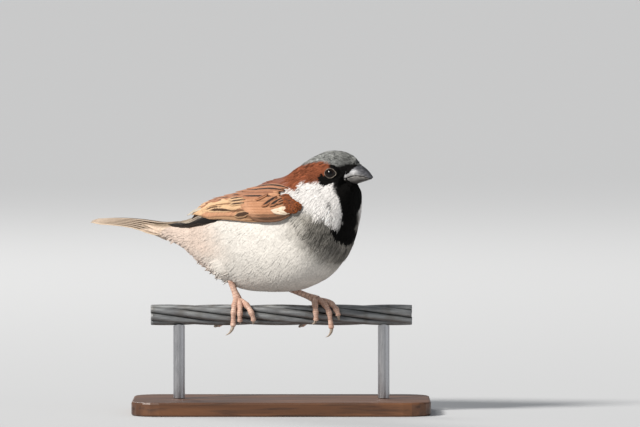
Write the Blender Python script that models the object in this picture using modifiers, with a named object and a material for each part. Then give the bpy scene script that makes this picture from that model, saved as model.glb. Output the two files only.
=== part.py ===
"""A male house sparrow, life size, gripping a short cut length of seven-wire strand on a plain stand.

Run it with: blender --background --python part.py
Lengths below are millimetres, made metres by MM. The bird is modelled in its own frame, in which F runs
forward to the bill, L to its left and Z up from the wire's axis, and the empty "bird" turns it on the perch.
The perch and the stand are in the world's frame: X along the wire, Z up from the underside of the base.
"""

import math
from typing import NamedTuple

import bmesh
import bpy
import numpy as np
from mathutils import Vector

MM = 0.001
GAP = 0.3  # clearance between neighbouring solids

# Perch and stand
WIRE_HEIGHT = 42.0  # the wire's axis above the floor
WIRE_DIAMETER = 9.0
WIRE_LENGTH = 112.0
OUTER_WIRES = 6
LAY_LENGTH = -145.0  # one full turn of an outer wire
BASE_LENGTH, BASE_WIDTH, BASE_THICKNESS = 128.0, 66.0, 6.0
BASE_CORNER, BASE_CHAMFER = 12.0, 0.8
ROD_DIAMETER, ROD_SPACING = 5.0, 88.0

# The bird on the wire
BIRD_TURN = 34.0  # degrees from the wire's direction towards -Y
BIRD_CENTRE_X = -5.0  # where the bird's frame stands over the wire

# Sampling of the lofts
RING_POINTS = 24
RINGS_PER_STATION = 2


class Station(NamedTuple):
    """A cross-section of the body through two points of its mid plane, each (F, Z)."""

    name: str
    dorsal: tuple
    ventral: tuple
    half_width: float
    low: float  # how much wider the section is below its middle


BODY = [
    Station("bill_base", (46.4, 65.0), (44.4, 57.8), 2.8, 0.00),
    Station("forehead", (45.9, 67.2), (45.2, 55.2), 3.8, 0.10),
    Station("lores", (43.6, 69.4), (45.4, 51.4), 4.1, 0.50),
    Station("crown", (38.4, 71.3), (44.9, 46.6), 6.9, 0.40),
    Station("cheek", (31.0, 71.6), (44.0, 41.2), 10.4, 0.26),
    Station("nape", (23.6, 69.2), (42.6, 35.8), 13.0, 0.15),
    Station("hind_neck", (15.6, 64.4), (40.2, 29.4), 15.8, 0.06),
    Station("shoulder", (8.2, 59.9), (36.0, 22.4), 17.8, 0.04),
    Station("mantle", (-0.6, 57.3), (28.6, 15.2), 19.0, 0.03),
    Station("back", (-10.5, 53.0), (16.0, 10.0), 19.4, 0.02),
    Station("lower_back", (-19.5, 50.2), (2.0, 8.7), 17.4, 0.00),
    Station("rump", (-29.0, 46.4), (-14.0, 9.8), 14.4, 0.00),
    Station("hind", (-37.0, 42.4), (-29.5, 17.0), 11.2, 0.00),
    Station("vent", (-43.5, 40.4), (-40.2, 24.8), 8.4, 0.00),
    Station("tail_root", (-50.0, 39.2), (-51.0, 30.6), 6.4, 0.00),
]
SECTION_POWER = 2.15  # 2 is an ellipse, more is squarer
HEAD_END, NECK_END, TRUNK_END = 4.9, 6.5, 13.6  # where the body is parted, in stations
PART_GAP = 0.03  # half the cut there, in stations


class WingSection(NamedTuple):
    """A chord of the folded left wing: its lower and upper edge as (F, L, Z), and its arch."""

    name: str
    lower: tuple
    upper: tuple
    bulge: float


WING = [
    WingSection("wrist", (28.0, 16.0, 46.0), (27.6, 15.6, 48.8), 0.3),
    WingSection("shoulder", (24.6, 18.0, 42.6), (22.5, 15.2, 53.0), 1.2),
    WingSection("coverts", (15.5, 19.6, 39.6), (10.0, 13.6, 55.0), 2.2),
    WingSection("middle", (2.0, 19.0, 40.0), (-4.5, 10.2, 53.6), 3.0),
    WingSection("hind", (-9.5, 17.0, 40.6), (-16.0, 7.4, 51.4), 3.0),
    WingSection("tertials", (-20.0, 13.6, 41.0), (-27.5, 4.6, 48.9), 2.2),
    WingSection("tips", (-30.0, 10.0, 39.6), (-36.4, 3.4, 44.7), 1.0),
    WingSection("primaries", (-39.0, 6.6, 37.8), (-41.2, 3.2, 40.6), 0.4),
    WingSection("point", (-51.0, 3.6, 37.6), (-51.2, 2.4, 38.8), 0.1),
]
WING_THICKNESS = 1.6
WING_ROWS, WING_COLUMNS = 18, 5


class TailSection(NamedTuple):
    """A cross-section of the tail: how far back, half its width, top, thickness, and how far its edges droop."""

    name: str
    back: float
    half_width: float
    top: float
    thickness: float
    droop: float


TAIL = [
    TailSection("root", 47.6, 6.6, 39.6, 10.0, 0.0),
    TailSection("coverts", 56.0, 6.0, 39.2, 6.2, 0.8),
    TailSection("middle", 67.0, 6.3, 40.2, 3.2, 1.8),
    TailSection("blade", 78.0, 7.0, 40.6, 2.0, 1.6),
    TailSection("tip", 88.8, 7.4, 40.0, 1.1, 0.9),
]
TAIL_NOTCH = 1.6
TAIL_RINGS = 10

# Head details, on the bird's left where they come in pairs
EYE_CENTRE = (36.1, 6.4, 61.4)
EYE_RADIUS = 3.1
BILL_TIP = (53.4, 60.0)
BILL_HALF_WIDTH = 4.7
CULMEN = [(41.6, 66.2), (46.4, 65.4), (50.2, 63.2), BILL_TIP]
TOMIUM = [(41.6, 59.4), (45.9, 60.6), (49.6, 60.4), (52.8, 59.5)]
GONYS = [(41.0, 57.4), (44.6, 57.1), (48.4, 58.0), (51.8, 59.0)]
BILL_RINGS, BILL_POINTS = 8, 16


class Toe(NamedTuple):
    """A toe's run round the wire: where it starts and ends along X, how far round it goes before it leaves
    the wire, in degrees from the top towards -Y, how much further it runs straight, and its claw: how long it
    is, and how much it bends along X against how much it bends towards the wire."""

    name: str
    start_x: float
    end_x: float
    wrap: float
    straight: float
    claw: float
    claw_bend: float


class Leg(NamedTuple):
    """The heel as (F, L, Z) in the bird's frame, where the toes spring from along the wire, and the toes."""

    side: str
    heel: tuple
    foot_x: float
    thigh: tuple
    thigh_radii: tuple
    toes: tuple


LEGS = [
    Leg("right", (-16.3, -9.9, 20.4), -18.7, (-16.8, -10.6, 20.4), (6.4, 5.0, 6.8), (
        Toe("inner", 1.0, 6.8, 114.0, 0.0, 3.2, -0.5),
        Toe("middle", 0.9, 0.9, 117.0, 0.0, 3.0, 0.0),
        Toe("outer", -0.8, -1.9, 92.0, 4.8, 5.2, -2.4),
        Toe("hind", -1.0, -9.0, -142.0, 0.0, 5.6, 1.0),
    )),
    Leg("left", (-2.5, 9.2, 13.0), 15.5, (-6.0, 10.0, 15.8), (7.0, 4.6, 5.4), (
        Toe("inner", -1.4, -0.6, 112.0, 0.0, 3.2, -1.6),
        Toe("middle", 0.8, 5.3, 94.0, 5.6, 5.2, -2.4),
        Toe("outer", 3.4, 9.0, 92.0, 0.0, 3.0, 0.0),
        Toe("hind", -1.0, -7.0, -142.0, 0.0, 5.4, 1.0),
    )),
]
TARSUS_RADIUS, ANKLE_RADIUS = 1.15, 1.4
TOE_RADIUS, TOE_END_RADIUS = 1.0, 0.74
TOE_PAD = 0.12  # how far the pads swell a toe, in its radius
CLAW_RADIUS, CLAW_TIP_RADIUS = 0.62, 0.25
CLAW_CURL = 75.0  # degrees
FOOT_HEIGHT = WIRE_DIAMETER / 2 + 1.9  # the ankle's end above the wire's axis


def spline(points, t):
    """A Catmull-Rom curve through rows of numbers, at t counted in rows."""
    rows = np.asarray(points, float)
    rows = np.vstack([2 * rows[0] - rows[1], rows, 2 * rows[-1] - rows[-2]])
    i = min(int(t), len(rows) - 4)
    u = t - i
    a, b, c, d = rows[i : i + 4]
    return 0.5 * (2 * b + (c - a) * u + (2 * a - 5 * b + 4 * c - d) * u**2 + (3 * b - a - 3 * c + d) * u**3)


def rounded(angle, power=SECTION_POWER):
    """The cosine and sine of a superellipse at this angle."""
    c, s = math.cos(angle), math.sin(angle)
    return math.copysign(abs(c) ** (2 / power), c), math.copysign(abs(s) ** (2 / power), s)


def body_point(station, angle):
    """A point on the body's surface. The angle is 0 on the back and grows towards the left side."""
    rows = [(*s.dorsal, *s.ventral, s.half_width, s.low) for s in BODY]
    df, dz, vf, vz, width, low = spline(rows, station)
    up, side = rounded(angle)
    return (
        (df + vf) / 2 + (df - vf) / 2 * up,
        width * side * (1 - low * up),
        (dz + vz) / 2 + (dz - vz) / 2 * up,
    )


def loft(name, rings, material, cap=True):
    """A closed solid through rings of equal count, each a list of (x, y, z) in millimetres."""
    mesh = bpy.data.meshes.new(name)
    shape = bmesh.new()
    rows = [[shape.verts.new(Vector(p) * MM) for p in ring] for ring in rings]
    count = len(rings[0])
    for near, far in zip(rows, rows[1:]):
        for i in range(count):
            j = (i + 1) % count
            shape.faces.new((near[i], near[j], far[j], far[i]))
    if cap:
        for ring in (rows[0], rows[-1]):
            middle = shape.verts.new(sum((v.co for v in ring), Vector()) / count)
            for i in range(count):
                shape.faces.new((ring[i], ring[(i + 1) % count], middle))
    bmesh.ops.recalc_face_normals(shape, faces=shape.faces)
    shape.to_mesh(mesh)
    shape.free()
    mesh.shade_smooth()
    return add_object(name, mesh, material)


def add_object(name, mesh, material=None):
    obj = bpy.data.objects.new(name, mesh)
    PARTS.objects.link(obj)
    if material:
        mesh.materials.clear()
        mesh.materials.append(material)
    return obj


def make_material(name, colour, roughness, metallic=0.0):
    material = bpy.data.materials.new(name)
    material.use_nodes = True
    shader = material.node_tree.nodes["Principled BSDF"]
    shader.inputs["Base Color"].default_value = (*colour, 1)
    shader.inputs["Roughness"].default_value = roughness
    shader.inputs["Metallic"].default_value = metallic
    return material


def in_bird(obj):
    obj.parent = BIRD
    return obj


def as_cutter(obj):
    """Takes an object out of the model: it then only shapes others."""
    PARTS.objects.unlink(obj)
    CUTTERS.objects.link(obj)
    obj.hide_render = True
    obj.display_type = "WIRE"
    return obj


def boolean(target, other, operation="DIFFERENCE"):
    modifier = target.modifiers.new(operation.lower(), "BOOLEAN")
    modifier.operation = operation
    modifier.object = other
    modifier.solver = "EXACT"


def body_segment(name, start, end, material):
    """The body between two stations, with a flat end at each."""
    steps = max(2, round((end - start) * RINGS_PER_STATION))
    rings = []
    for k in range(steps + 1):
        station = start + (end - start) * k / steps
        rings.append([body_point(station, math.tau * i / RING_POINTS) for i in range(RING_POINTS)])
    return in_bird(loft(name, rings, material))


def wing_point(row, column, side, widen=0.0):
    """A point on the outside of the folded wing. Row counts its sections, column runs 0 to 1 from the lower
    edge to the upper one, and widen moves the edges apart."""
    rows = [(*w.lower, *w.upper, w.bulge) for w in WING]
    values = spline(rows, row)
    lower, upper, bulge = Vector(values[:3]), Vector(values[3:6]), values[6]
    chord = upper - lower
    outward = Vector((0, chord.z, -chord.y)).normalized()
    across = column + widen / chord.length * (2 * column - 1)
    point = lower + chord * across + outward * bulge * 4 * column * (1 - column)
    return Vector((point.x, point.y * side, point.z))


def wing(name, side, material, grow=0.0):
    """A folded wing: a curved sheet between its two edges, made solid inwards. Grow is for its cutter."""
    mesh = bpy.data.meshes.new(name)
    shape = bmesh.new()
    grid = []
    for r in range(WING_ROWS + 1):
        row = (len(WING) - 1) * r / WING_ROWS
        grid.append([])
        for c in range(WING_COLUMNS + 1):
            point = wing_point(row, c / WING_COLUMNS, side, grow)
            point.x += grow * (2 * (1 - r / WING_ROWS) - 1)
            grid[-1].append(shape.verts.new(point * MM))
    for near, far in zip(grid, grid[1:]):
        for i in range(WING_COLUMNS):
            corners = (near[i], near[i + 1], far[i + 1], far[i])
            shape.faces.new(corners if side < 0 else corners[::-1])
    shape.to_mesh(mesh)
    shape.free()
    mesh.shade_smooth()
    obj = in_bird(add_object(name, mesh, material))
    solid = obj.modifiers.new("thickness", "SOLIDIFY")
    solid.thickness = (WING_THICKNESS + 2 * grow) * MM
    solid.offset = -1 + 2 * grow / (WING_THICKNESS + 2 * grow)
    return obj


def tail_ring(t):
    """A ring of the tail, t from 0 at its root to 1 at its tip."""
    rows = [(s.back, s.half_width, s.top, s.thickness, s.droop) for s in TAIL]
    back, width, top, thickness, droop = spline(rows, t * (len(rows) - 1))
    ring = []
    for i in range(RING_POINTS):
        up, side = rounded(math.tau * i / RING_POINTS, 2.6)
        notch = TAIL_NOTCH * t**3 * (1 - abs(side))
        z = top - thickness / 2 - droop * side**2 + thickness / 2 * up
        ring.append((-back + notch, width * side, z))
    return ring


def mandible(name, upper, lower, material, grow=0.0, start=0.0):
    """Half of the bill, between an upper and a lower line of the mid plane. Its flat side is the mouth."""
    rings = []
    is_upper = upper is CULMEN
    for k in range(BILL_RINGS + 1):
        t = start + (1 - start) * k / BILL_RINGS
        top = spline(upper, t * (len(upper) - 1))
        bottom = spline(lower, t * (len(lower) - 1))
        width = BILL_HALF_WIDTH * (1 - t) ** 0.62 * (1 - 0.12 * t) + 0.4 + grow
        flat, crest = (bottom, top) if is_upper else (top, bottom)
        rise = 1 if is_upper else -1
        height = abs(crest[1] - flat[1]) + grow
        ring = []
        for i in range(BILL_POINTS):
            up, side = rounded(math.tau * i / BILL_POINTS, 1.8 if is_upper else 2.0)
            z = flat[1] + rise * (height * up if up > 0 else grow * up)
            f = flat[0] + (crest[0] - flat[0]) * max(up, 0)
            ring.append((f + grow * (2 * k / BILL_RINGS - 1), width * side, z))
        rings.append(ring)
    return in_bird(loft(name, rings, material))


def ball(name, centre, radii, material=None, segments=16):
    mesh = bpy.data.meshes.new(name)
    shape = bmesh.new()
    bmesh.ops.create_uvsphere(shape, u_segments=segments, v_segments=segments // 2, radius=1)
    bmesh.ops.scale(shape, vec=Vector(radii) * MM, verts=shape.verts)
    bmesh.ops.translate(shape, vec=Vector(centre) * MM, verts=shape.verts)
    shape.to_mesh(mesh)
    shape.free()
    mesh.shade_smooth()
    return add_object(name, mesh, material)


def tube(name, points, radii, material, resolution=1):
    """A round solid along points, as a bevelled curve made a mesh with its caps joined."""
    curve = bpy.data.curves.new(name, "CURVE")
    curve.dimensions = "3D"
    curve.bevel_depth = MM
    curve.bevel_resolution = resolution
    curve.use_fill_caps = True
    line = curve.splines.new("POLY")
    line.points.add(len(points) - 1)
    for knot, point, radius in zip(line.points, points, radii):
        knot.co = (*(Vector(point) * MM), 1)
        knot.radius = radius
    guide = bpy.data.objects.new(name + "_curve", curve)
    PARTS.objects.link(guide)
    graph = bpy.context.evaluated_depsgraph_get()
    mesh = bpy.data.meshes.new_from_object(guide.evaluated_get(graph), depsgraph=graph)
    bpy.data.objects.remove(guide)
    shape = bmesh.new()
    shape.from_mesh(mesh)
    bmesh.ops.remove_doubles(shape, verts=shape.verts, dist=1e-6)
    bmesh.ops.recalc_face_normals(shape, faces=shape.faces)
    shape.to_mesh(mesh)
    shape.free()
    mesh.name = name
    mesh.shade_smooth()
    return add_object(name, mesh, material)


def to_world(point):
    """A point of the bird's frame in the world's, in millimetres."""
    turn = math.radians(BIRD_TURN)
    f, l, z = point
    return Vector((
        BIRD_CENTRE_X + f * math.cos(turn) + l * math.sin(turn),
        -f * math.sin(turn) + l * math.cos(turn),
        WIRE_HEIGHT + z,
    ))


def round_wire(x, angle, radius):
    """A point at this distance from the wire's axis, the angle counted from the top towards -Y."""
    a = math.radians(angle)
    return Vector((x, -radius * math.sin(a), WIRE_HEIGHT + radius * math.cos(a)))


def toe_path(leg, toe):
    """The toe's centre line and radii, and the direction and inward normal at its end."""
    points, radii = [], []
    steps = 8
    lift = WIRE_DIAMETER / 2 + GAP
    start = 8.0 if toe.wrap > 0 else -8.0
    for k in range(steps + 1):
        t = k / steps
        radius = TOE_RADIUS + (TOE_END_RADIUS - TOE_RADIUS) * t
        swell = TOE_PAD * (1 + math.cos(math.tau * 3 * t)) / 2
        angle = start + (toe.wrap - start) * t
        x = leg.foot_x + toe.start_x + (toe.end_x - toe.start_x) * (1 - (1 - t) ** 1.6)
        points.append(round_wire(x, angle, lift + TOE_RADIUS * 1.12))
        radii.append(radius + swell)
    along = (points[-1] - points[-2]).normalized()
    centre = Vector((points[-1].x, 0, WIRE_HEIGHT))
    if toe.straight:
        for part in (0.5, 1.0):
            points.append(points[steps] + along * toe.straight * part)
            radii.append(TOE_END_RADIUS + (TOE_PAD if part == 0.5 else 0))
    inward = centre - points[-1]
    inward = (inward - along * inward.dot(along)).normalized()
    return points, radii, along, inward


def claw_path(start, along, inward, length):
    """A claw: an arc that bends from the toe's direction towards the perch."""
    points, radii = [], []
    steps = 5
    radius = length / math.radians(CLAW_CURL)
    for k in range(steps + 1):
        t = k / steps
        a = math.radians(CLAW_CURL) * t
        points.append(start + along * radius * math.sin(a) + inward * radius * (1 - math.cos(a)))
        radii.append(CLAW_RADIUS + (CLAW_TIP_RADIUS - CLAW_RADIUS) * t)
    return points, radii


def make_leg(leg, skin, horn):
    """The bare leg and its toes as one solid, with four claws. Returns the leg and its heel's cutter."""
    heel = to_world(leg.heel)
    ankle = Vector((leg.foot_x, 0, WIRE_HEIGHT + FOOT_HEIGHT))
    path = [heel.lerp(ankle, t / 6) for t in range(7)]
    radii = [ANKLE_RADIUS, *[TARSUS_RADIUS] * 5, ANKLE_RADIUS]
    body = tube(f"leg_{leg.side}", path, radii, skin)
    pad = as_cutter(ball(f"foot_pad_{leg.side}", ankle - Vector((0, 0, 0.35)), (2.3, 1.7, 1.1), skin, 12))
    boolean(body, pad, "UNION")
    for toe in leg.toes:
        points, widths, along, inward = toe_path(leg, toe)
        points = [ankle - Vector((0, 0, 0.2)), *points[1:]]
        piece = as_cutter(tube(f"toe_{leg.side}_{toe.name}", points, widths, skin))
        boolean(body, piece, "UNION")
        turned = (inward + Vector((toe.claw_bend, 0, 0))).normalized()
        root = points[-1] + along * (GAP + 0.1)
        claw, widths = claw_path(root, along, turned, toe.claw)
        tube(f"claw_{leg.side}_{toe.name}", claw, widths, horn)
    cutter = as_cutter(tube(f"socket_{leg.side}", path, [r + GAP for r in radii], skin))
    return body, cutter


def outer_wire(index, material):
    """One wire of the strand, a helix about its axis."""
    thickness = WIRE_DIAMETER / 3
    steps = 13
    points = []
    for k in range(steps + 1):
        x = WIRE_LENGTH * (k / steps - 0.5)
        angle = 360 * (index / OUTER_WIRES - x / LAY_LENGTH)
        points.append(round_wire(x, angle, thickness))
    radii = [(thickness - GAP) / 2] * len(points)
    return tube(f"perch_wire_{index + 1}", points, radii, material, 1)


def core_wire(material):
    ends = [(-WIRE_LENGTH / 2, 0, WIRE_HEIGHT), (WIRE_LENGTH / 2, 0, WIRE_HEIGHT)]
    return tube("perch_wire_core", ends, [(WIRE_DIAMETER / 3 - GAP) / 2] * 2, material, 1)


def stand_base(material):
    mesh = bpy.data.meshes.new("stand_base")
    shape = bmesh.new()
    bmesh.ops.create_cube(shape, size=1)
    bmesh.ops.scale(shape, vec=Vector((BASE_LENGTH, BASE_WIDTH, BASE_THICKNESS)) * MM, verts=shape.verts)
    corners = [e for e in shape.edges if abs(e.verts[0].co.z - e.verts[1].co.z) > BASE_THICKNESS * MM / 2]
    bmesh.ops.bevel(shape, geom=corners, offset=BASE_CORNER * MM, segments=5, affect="EDGES", profile=0.5)
    bmesh.ops.translate(shape, vec=(0, 0, BASE_THICKNESS / 2 * MM), verts=shape.verts)
    shape.to_mesh(mesh)
    shape.free()
    obj = add_object("stand_base", mesh, material)
    edge = obj.modifiers.new("edge", "BEVEL")
    edge.width = BASE_CHAMFER * MM
    edge.segments = 2
    edge.limit_method = "ANGLE"
    return obj


def stand_rod(name, x, material, saddle):
    """A rod from the base up to the wire, hollowed at its top to seat it."""
    bottom, top = BASE_THICKNESS + GAP, WIRE_HEIGHT - WIRE_DIAMETER / 4
    mesh = bpy.data.meshes.new(name)
    shape = bmesh.new()
    bmesh.ops.create_cone(
        shape, cap_ends=True, segments=16, radius1=ROD_DIAMETER / 2 * MM, radius2=ROD_DIAMETER / 2 * MM,
        depth=(top - bottom) * MM,
    )
    bmesh.ops.translate(shape, vec=Vector((x, 0, (top + bottom) / 2)) * MM, verts=shape.verts)
    shape.to_mesh(mesh)
    shape.free()
    mesh.shade_smooth()
    mesh.set_sharp_from_angle(angle=math.radians(40))
    rod = add_object(name, mesh, material)
    boolean(rod, saddle)
    return rod


def make_stand(wood, steel, galvanised):
    for index in range(OUTER_WIRES):
        outer_wire(index, galvanised)
    core_wire(galvanised)
    stand_base(wood)
    ends = [(-WIRE_LENGTH, 0, WIRE_HEIGHT), (WIRE_LENGTH, 0, WIRE_HEIGHT)]
    saddle = as_cutter(tube("saddle", ends, [WIRE_DIAMETER / 2 + GAP] * 2, steel, 6))
    stand_rod("stand_rod_hind", -ROD_SPACING / 2, steel, saddle)
    stand_rod("stand_rod_fore", ROD_SPACING / 2, steel, saddle)


def make_bird(colours):
    head = body_segment("head", 0, HEAD_END - PART_GAP, colours["head"])
    body_segment("neck", HEAD_END + PART_GAP, NECK_END - PART_GAP, colours["neck"])
    trunk = body_segment("trunk", NECK_END + PART_GAP, TRUNK_END, colours["body"])
    rings = [tail_ring(k / TAIL_RINGS) for k in range(TAIL_RINGS + 1)]
    tail = in_bird(loft("tail", rings, colours["tail"]))
    neck = bpy.data.objects["neck"]

    for name, side in (("left", 1), ("right", -1)):
        wing(f"wing_{name}", side, colours["wing"])
        cutter = as_cutter(wing(f"wing_room_{name}", side, None, GAP))
        for piece in (trunk, neck, tail):
            boolean(piece, cutter)
        centre = (EYE_CENTRE[0], EYE_CENTRE[1] * side, EYE_CENTRE[2])
        in_bird(ball(f"eye_{name}", centre, (EYE_RADIUS,) * 3, colours["eye"]))
        socket = as_cutter(in_bird(ball(f"eye_socket_{name}", centre, (EYE_RADIUS + GAP,) * 3)))
        boolean(head, socket)

    mandible("bill_upper", CULMEN, TOMIUM, colours["bill"])
    lower_tomium = [(f - 0.15, z - GAP) for f, z in TOMIUM]
    mandible("bill_lower", lower_tomium, GONYS, colours["bill"])
    for name, lines in (("upper", (CULMEN, TOMIUM)), ("lower", (lower_tomium, GONYS))):
        boolean(head, as_cutter(mandible(f"bill_room_{name}", *lines, None, GAP)))

    for leg in LEGS:
        _, socket = make_leg(leg, colours["leg"], colours["claw"])
        thigh = in_bird(ball(f"thigh_{leg.side}", leg.thigh, leg.thigh_radii, colours["body"]))
        room = [r + GAP for r in leg.thigh_radii]
        thigh_room = as_cutter(in_bird(ball(f"thigh_room_{leg.side}", leg.thigh, room)))
        boolean(thigh, socket)
        boolean(trunk, thigh_room)
        boolean(trunk, socket)


for obj in list(bpy.data.objects):
    bpy.data.objects.remove(obj)
PARTS = bpy.data.collections.new("house_sparrow")
CUTTERS = bpy.data.collections.new("cutters")
for collection in (PARTS, CUTTERS):
    bpy.context.scene.collection.children.link(collection)
BIRD = bpy.data.objects.new("bird", None)
PARTS.objects.link(BIRD)
BIRD.location = Vector((BIRD_CENTRE_X, 0, WIRE_HEIGHT)) * MM
BIRD.rotation_euler.z = -math.radians(BIRD_TURN)

make_bird({
    "head": make_material("head_feathers", (0.36, 0.30, 0.27), 0.8),
    "neck": make_material("neck_feathers", (0.60, 0.55, 0.50), 0.8),
    "body": make_material("body_feathers", (0.72, 0.66, 0.58), 0.85),
    "wing": make_material("wing_feathers", (0.48, 0.24, 0.12), 0.7),
    "tail": make_material("tail_feathers", (0.30, 0.22, 0.16), 0.7),
    "eye": make_material("eye", (0.02, 0.012, 0.008), 0.08),
    "bill": make_material("bill", (0.09, 0.09, 0.10), 0.4),
    "leg": make_material("leg_skin", (0.55, 0.34, 0.25), 0.55),
    "claw": make_material("claw", (0.30, 0.24, 0.20), 0.4),
})
make_stand(
    wood=make_material("base_wood", (0.16, 0.09, 0.05), 0.5),
    steel=make_material("rod_steel", (0.5, 0.5, 0.52), 0.35, 1.0),
    galvanised=make_material("wire", (0.32, 0.32, 0.34), 0.5, 0.9),
)
bpy.context.view_layer.update()
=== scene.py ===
"""The looks of the house sparrow: one skin under a coat of solid feathers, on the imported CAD's frame.

The bird is built in its own frame in millimetres (F forward, L to its left, Z up from the wire's axis), and
to_world() turns it on the perch. A place on the body is a station s, from 0 at the face to LAST at the tail's
root, and an angle a, 0 on the back and growing towards the left. A place on a wing is a row, from 0 at its
bend, and a column, from 0 low to 1 high. Feathers are closed solids: small tufts on the face and body, and
vanes on the back, wings and tail. Skin and tufts take their colours from the same function, markings().
"""

import math
from typing import NamedTuple

import bmesh
import bpy
import numpy as np
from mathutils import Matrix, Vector


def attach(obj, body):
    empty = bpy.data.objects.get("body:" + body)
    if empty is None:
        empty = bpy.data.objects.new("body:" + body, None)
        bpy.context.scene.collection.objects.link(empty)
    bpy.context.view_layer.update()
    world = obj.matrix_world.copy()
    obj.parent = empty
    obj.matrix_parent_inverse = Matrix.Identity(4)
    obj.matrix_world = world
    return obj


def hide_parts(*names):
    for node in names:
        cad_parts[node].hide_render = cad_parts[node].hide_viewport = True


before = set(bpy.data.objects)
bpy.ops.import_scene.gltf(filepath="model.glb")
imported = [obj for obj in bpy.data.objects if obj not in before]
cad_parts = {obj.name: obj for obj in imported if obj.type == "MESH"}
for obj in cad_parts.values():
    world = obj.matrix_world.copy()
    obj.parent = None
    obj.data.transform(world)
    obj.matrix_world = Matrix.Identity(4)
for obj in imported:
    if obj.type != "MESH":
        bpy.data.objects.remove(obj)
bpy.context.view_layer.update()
rng = np.random.default_rng(7)

MM = 0.001
WIRE_HEIGHT, WIRE_DIAMETER, WIRE_LENGTH, LAY_LENGTH = 42.0, 9.0, 112.0, -145.0
OUTER_WIRES, WIRE_GAP = 6, 0.06
BIRD_TURN, BIRD_CENTRE_X = math.radians(34.0), -5.0
SIDES = {"left": 1, "right": -1}

# ------------------------------------------------------------------ the shape, as in the CAD
BODY = np.array([  # dorsal F, Z; ventral F, Z; half-width; how much wider the section is below its middle
    (46.4, 65.0, 44.4, 57.8, 2.8, 0.00),
    (45.9, 67.2, 45.2, 55.2, 3.8, 0.10),
    (43.6, 69.4, 45.4, 51.4, 4.1, 0.50),
    (38.4, 71.3, 44.9, 46.6, 6.9, 0.40),
    (31.0, 71.6, 44.0, 41.2, 10.4, 0.26),
    (23.6, 69.2, 42.6, 35.8, 13.0, 0.15),
    (15.6, 64.4, 40.2, 29.4, 15.8, 0.06),
    (8.2, 59.9, 36.0, 22.4, 17.8, 0.04),
    (-0.6, 57.3, 28.6, 15.2, 19.0, 0.03),
    (-10.5, 53.0, 16.0, 10.0, 19.4, 0.02),
    (-19.5, 50.2, 2.0, 8.7, 17.4, 0.00),
    (-29.0, 46.4, -14.0, 9.8, 14.4, 0.00),
    (-37.0, 42.4, -29.5, 17.0, 11.2, 0.00),
    (-43.5, 40.4, -40.2, 24.8, 8.4, 0.00),
    (-50.0, 39.2, -51.0, 30.6, 6.4, 0.00),
])
LAST = len(BODY) - 1
BODY_POWER = 2.15  # 2 is an ellipse, more is squarer
THIGHS = [((-16.8, -10.6, 20.4), (6.4, 5.0, 6.8)), ((-6.0, 10.0, 15.8), (7.0, 4.6, 5.4))]
WING = np.array([  # lower F, L, Z; upper F, L, Z; arch
    (28.0, 16.0, 46.0, 27.6, 15.6, 48.8, 0.3),
    (24.6, 18.0, 42.6, 22.5, 15.2, 53.0, 1.2),
    (15.5, 19.6, 39.6, 10.0, 13.6, 55.0, 2.2),
    (2.0, 19.0, 40.0, -4.5, 10.2, 53.6, 3.0),
    (-9.5, 17.0, 40.6, -16.0, 7.4, 51.4, 3.0),
    (-20.0, 13.6, 41.0, -27.5, 4.6, 48.9, 2.2),
    (-30.0, 10.0, 39.6, -36.4, 3.4, 44.7, 1.0),
    (-39.0, 6.6, 37.8, -41.2, 3.2, 40.6, 0.4),
    (-51.0, 3.6, 37.6, -51.2, 2.4, 38.8, 0.1),
])
LAST_ROW = len(WING) - 1
TAIL = np.array([  # back, half-width, top, thickness, droop
    (47.6, 6.6, 39.6, 10.0, 0.0),
    (56.0, 6.0, 39.2, 6.2, 0.8),
    (67.0, 6.3, 40.2, 3.2, 1.8),
    (78.0, 7.0, 40.6, 2.0, 1.6),
    (88.8, 7.4, 40.0, 1.1, 0.9),
])
EYE, EYE_RADIUS = np.array((36.1, 6.4, 61.4)), 3.1
BILL_TIP, BILL_HALF_WIDTH = (53.4, 60.0), 4.7
CULMEN = [(41.6, 66.2), (46.4, 65.4), (50.2, 63.2), BILL_TIP]
TOMIUM = [(41.6, 59.4), (45.9, 60.6), (49.6, 60.4), (52.8, 59.5)]
LOWER_TOMIUM = [(f - 0.15, z - 0.3) for f, z in TOMIUM]
GONYS = [(41.0, 57.4), (44.6, 57.1), (48.4, 58.0), (51.8, 59.0)]
FOOT_HEIGHT = WIRE_DIAMETER / 2 + 1.9
# heel (F, L, Z), where the toes spring from along X, and toes: start and end along X, degrees round the wire,
# straight run, claw's length, claw's bend along X
LEGS = {
    "right": ((-16.3, -9.9, 20.4), -18.7, {
        "inner": (1.0, 6.8, 114.0, 0.0, 3.2, -0.5),
        "middle": (0.9, 0.9, 117.0, 0.0, 3.0, 0.0),
        "outer": (-0.8, -1.9, 92.0, 4.8, 5.2, -2.4),
        "hind": (-1.0, -9.0, -142.0, 0.0, 5.6, 1.0),
    }),
    "left": ((-2.5, 9.2, 13.0), 15.5, {
        "inner": (-1.4, -0.6, 112.0, 0.0, 3.2, -1.6),
        "middle": (0.8, 5.3, 94.0, 5.6, 5.2, -2.4),
        "outer": (3.4, 9.0, 92.0, 0.0, 3.0, 0.0),
        "hind": (-1.0, -7.0, -142.0, 0.0, 5.4, 1.0),
    }),
}


def spline(rows, t):
    """A Catmull-Rom curve through rows of numbers, at each t counted in rows."""
    rows = np.asarray(rows, float)
    rows = np.vstack([2 * rows[0] - rows[1], rows, 2 * rows[-1] - rows[-2]])
    t = np.asarray(t, float)
    i = np.clip(t.astype(int), 0, len(rows) - 4)
    u = (t - i)[..., None]
    a, b, c, d = (rows[i + k] for k in range(4))
    return 0.5 * (2 * b + (c - a) * u + (2 * a - 5 * b + 4 * c - d) * u**2 + (3 * b - a - 3 * c + d) * u**3)


def line(x, knots):
    """Straight runs between (x, value) knots."""
    return np.interp(x, *zip(*knots))


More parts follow.
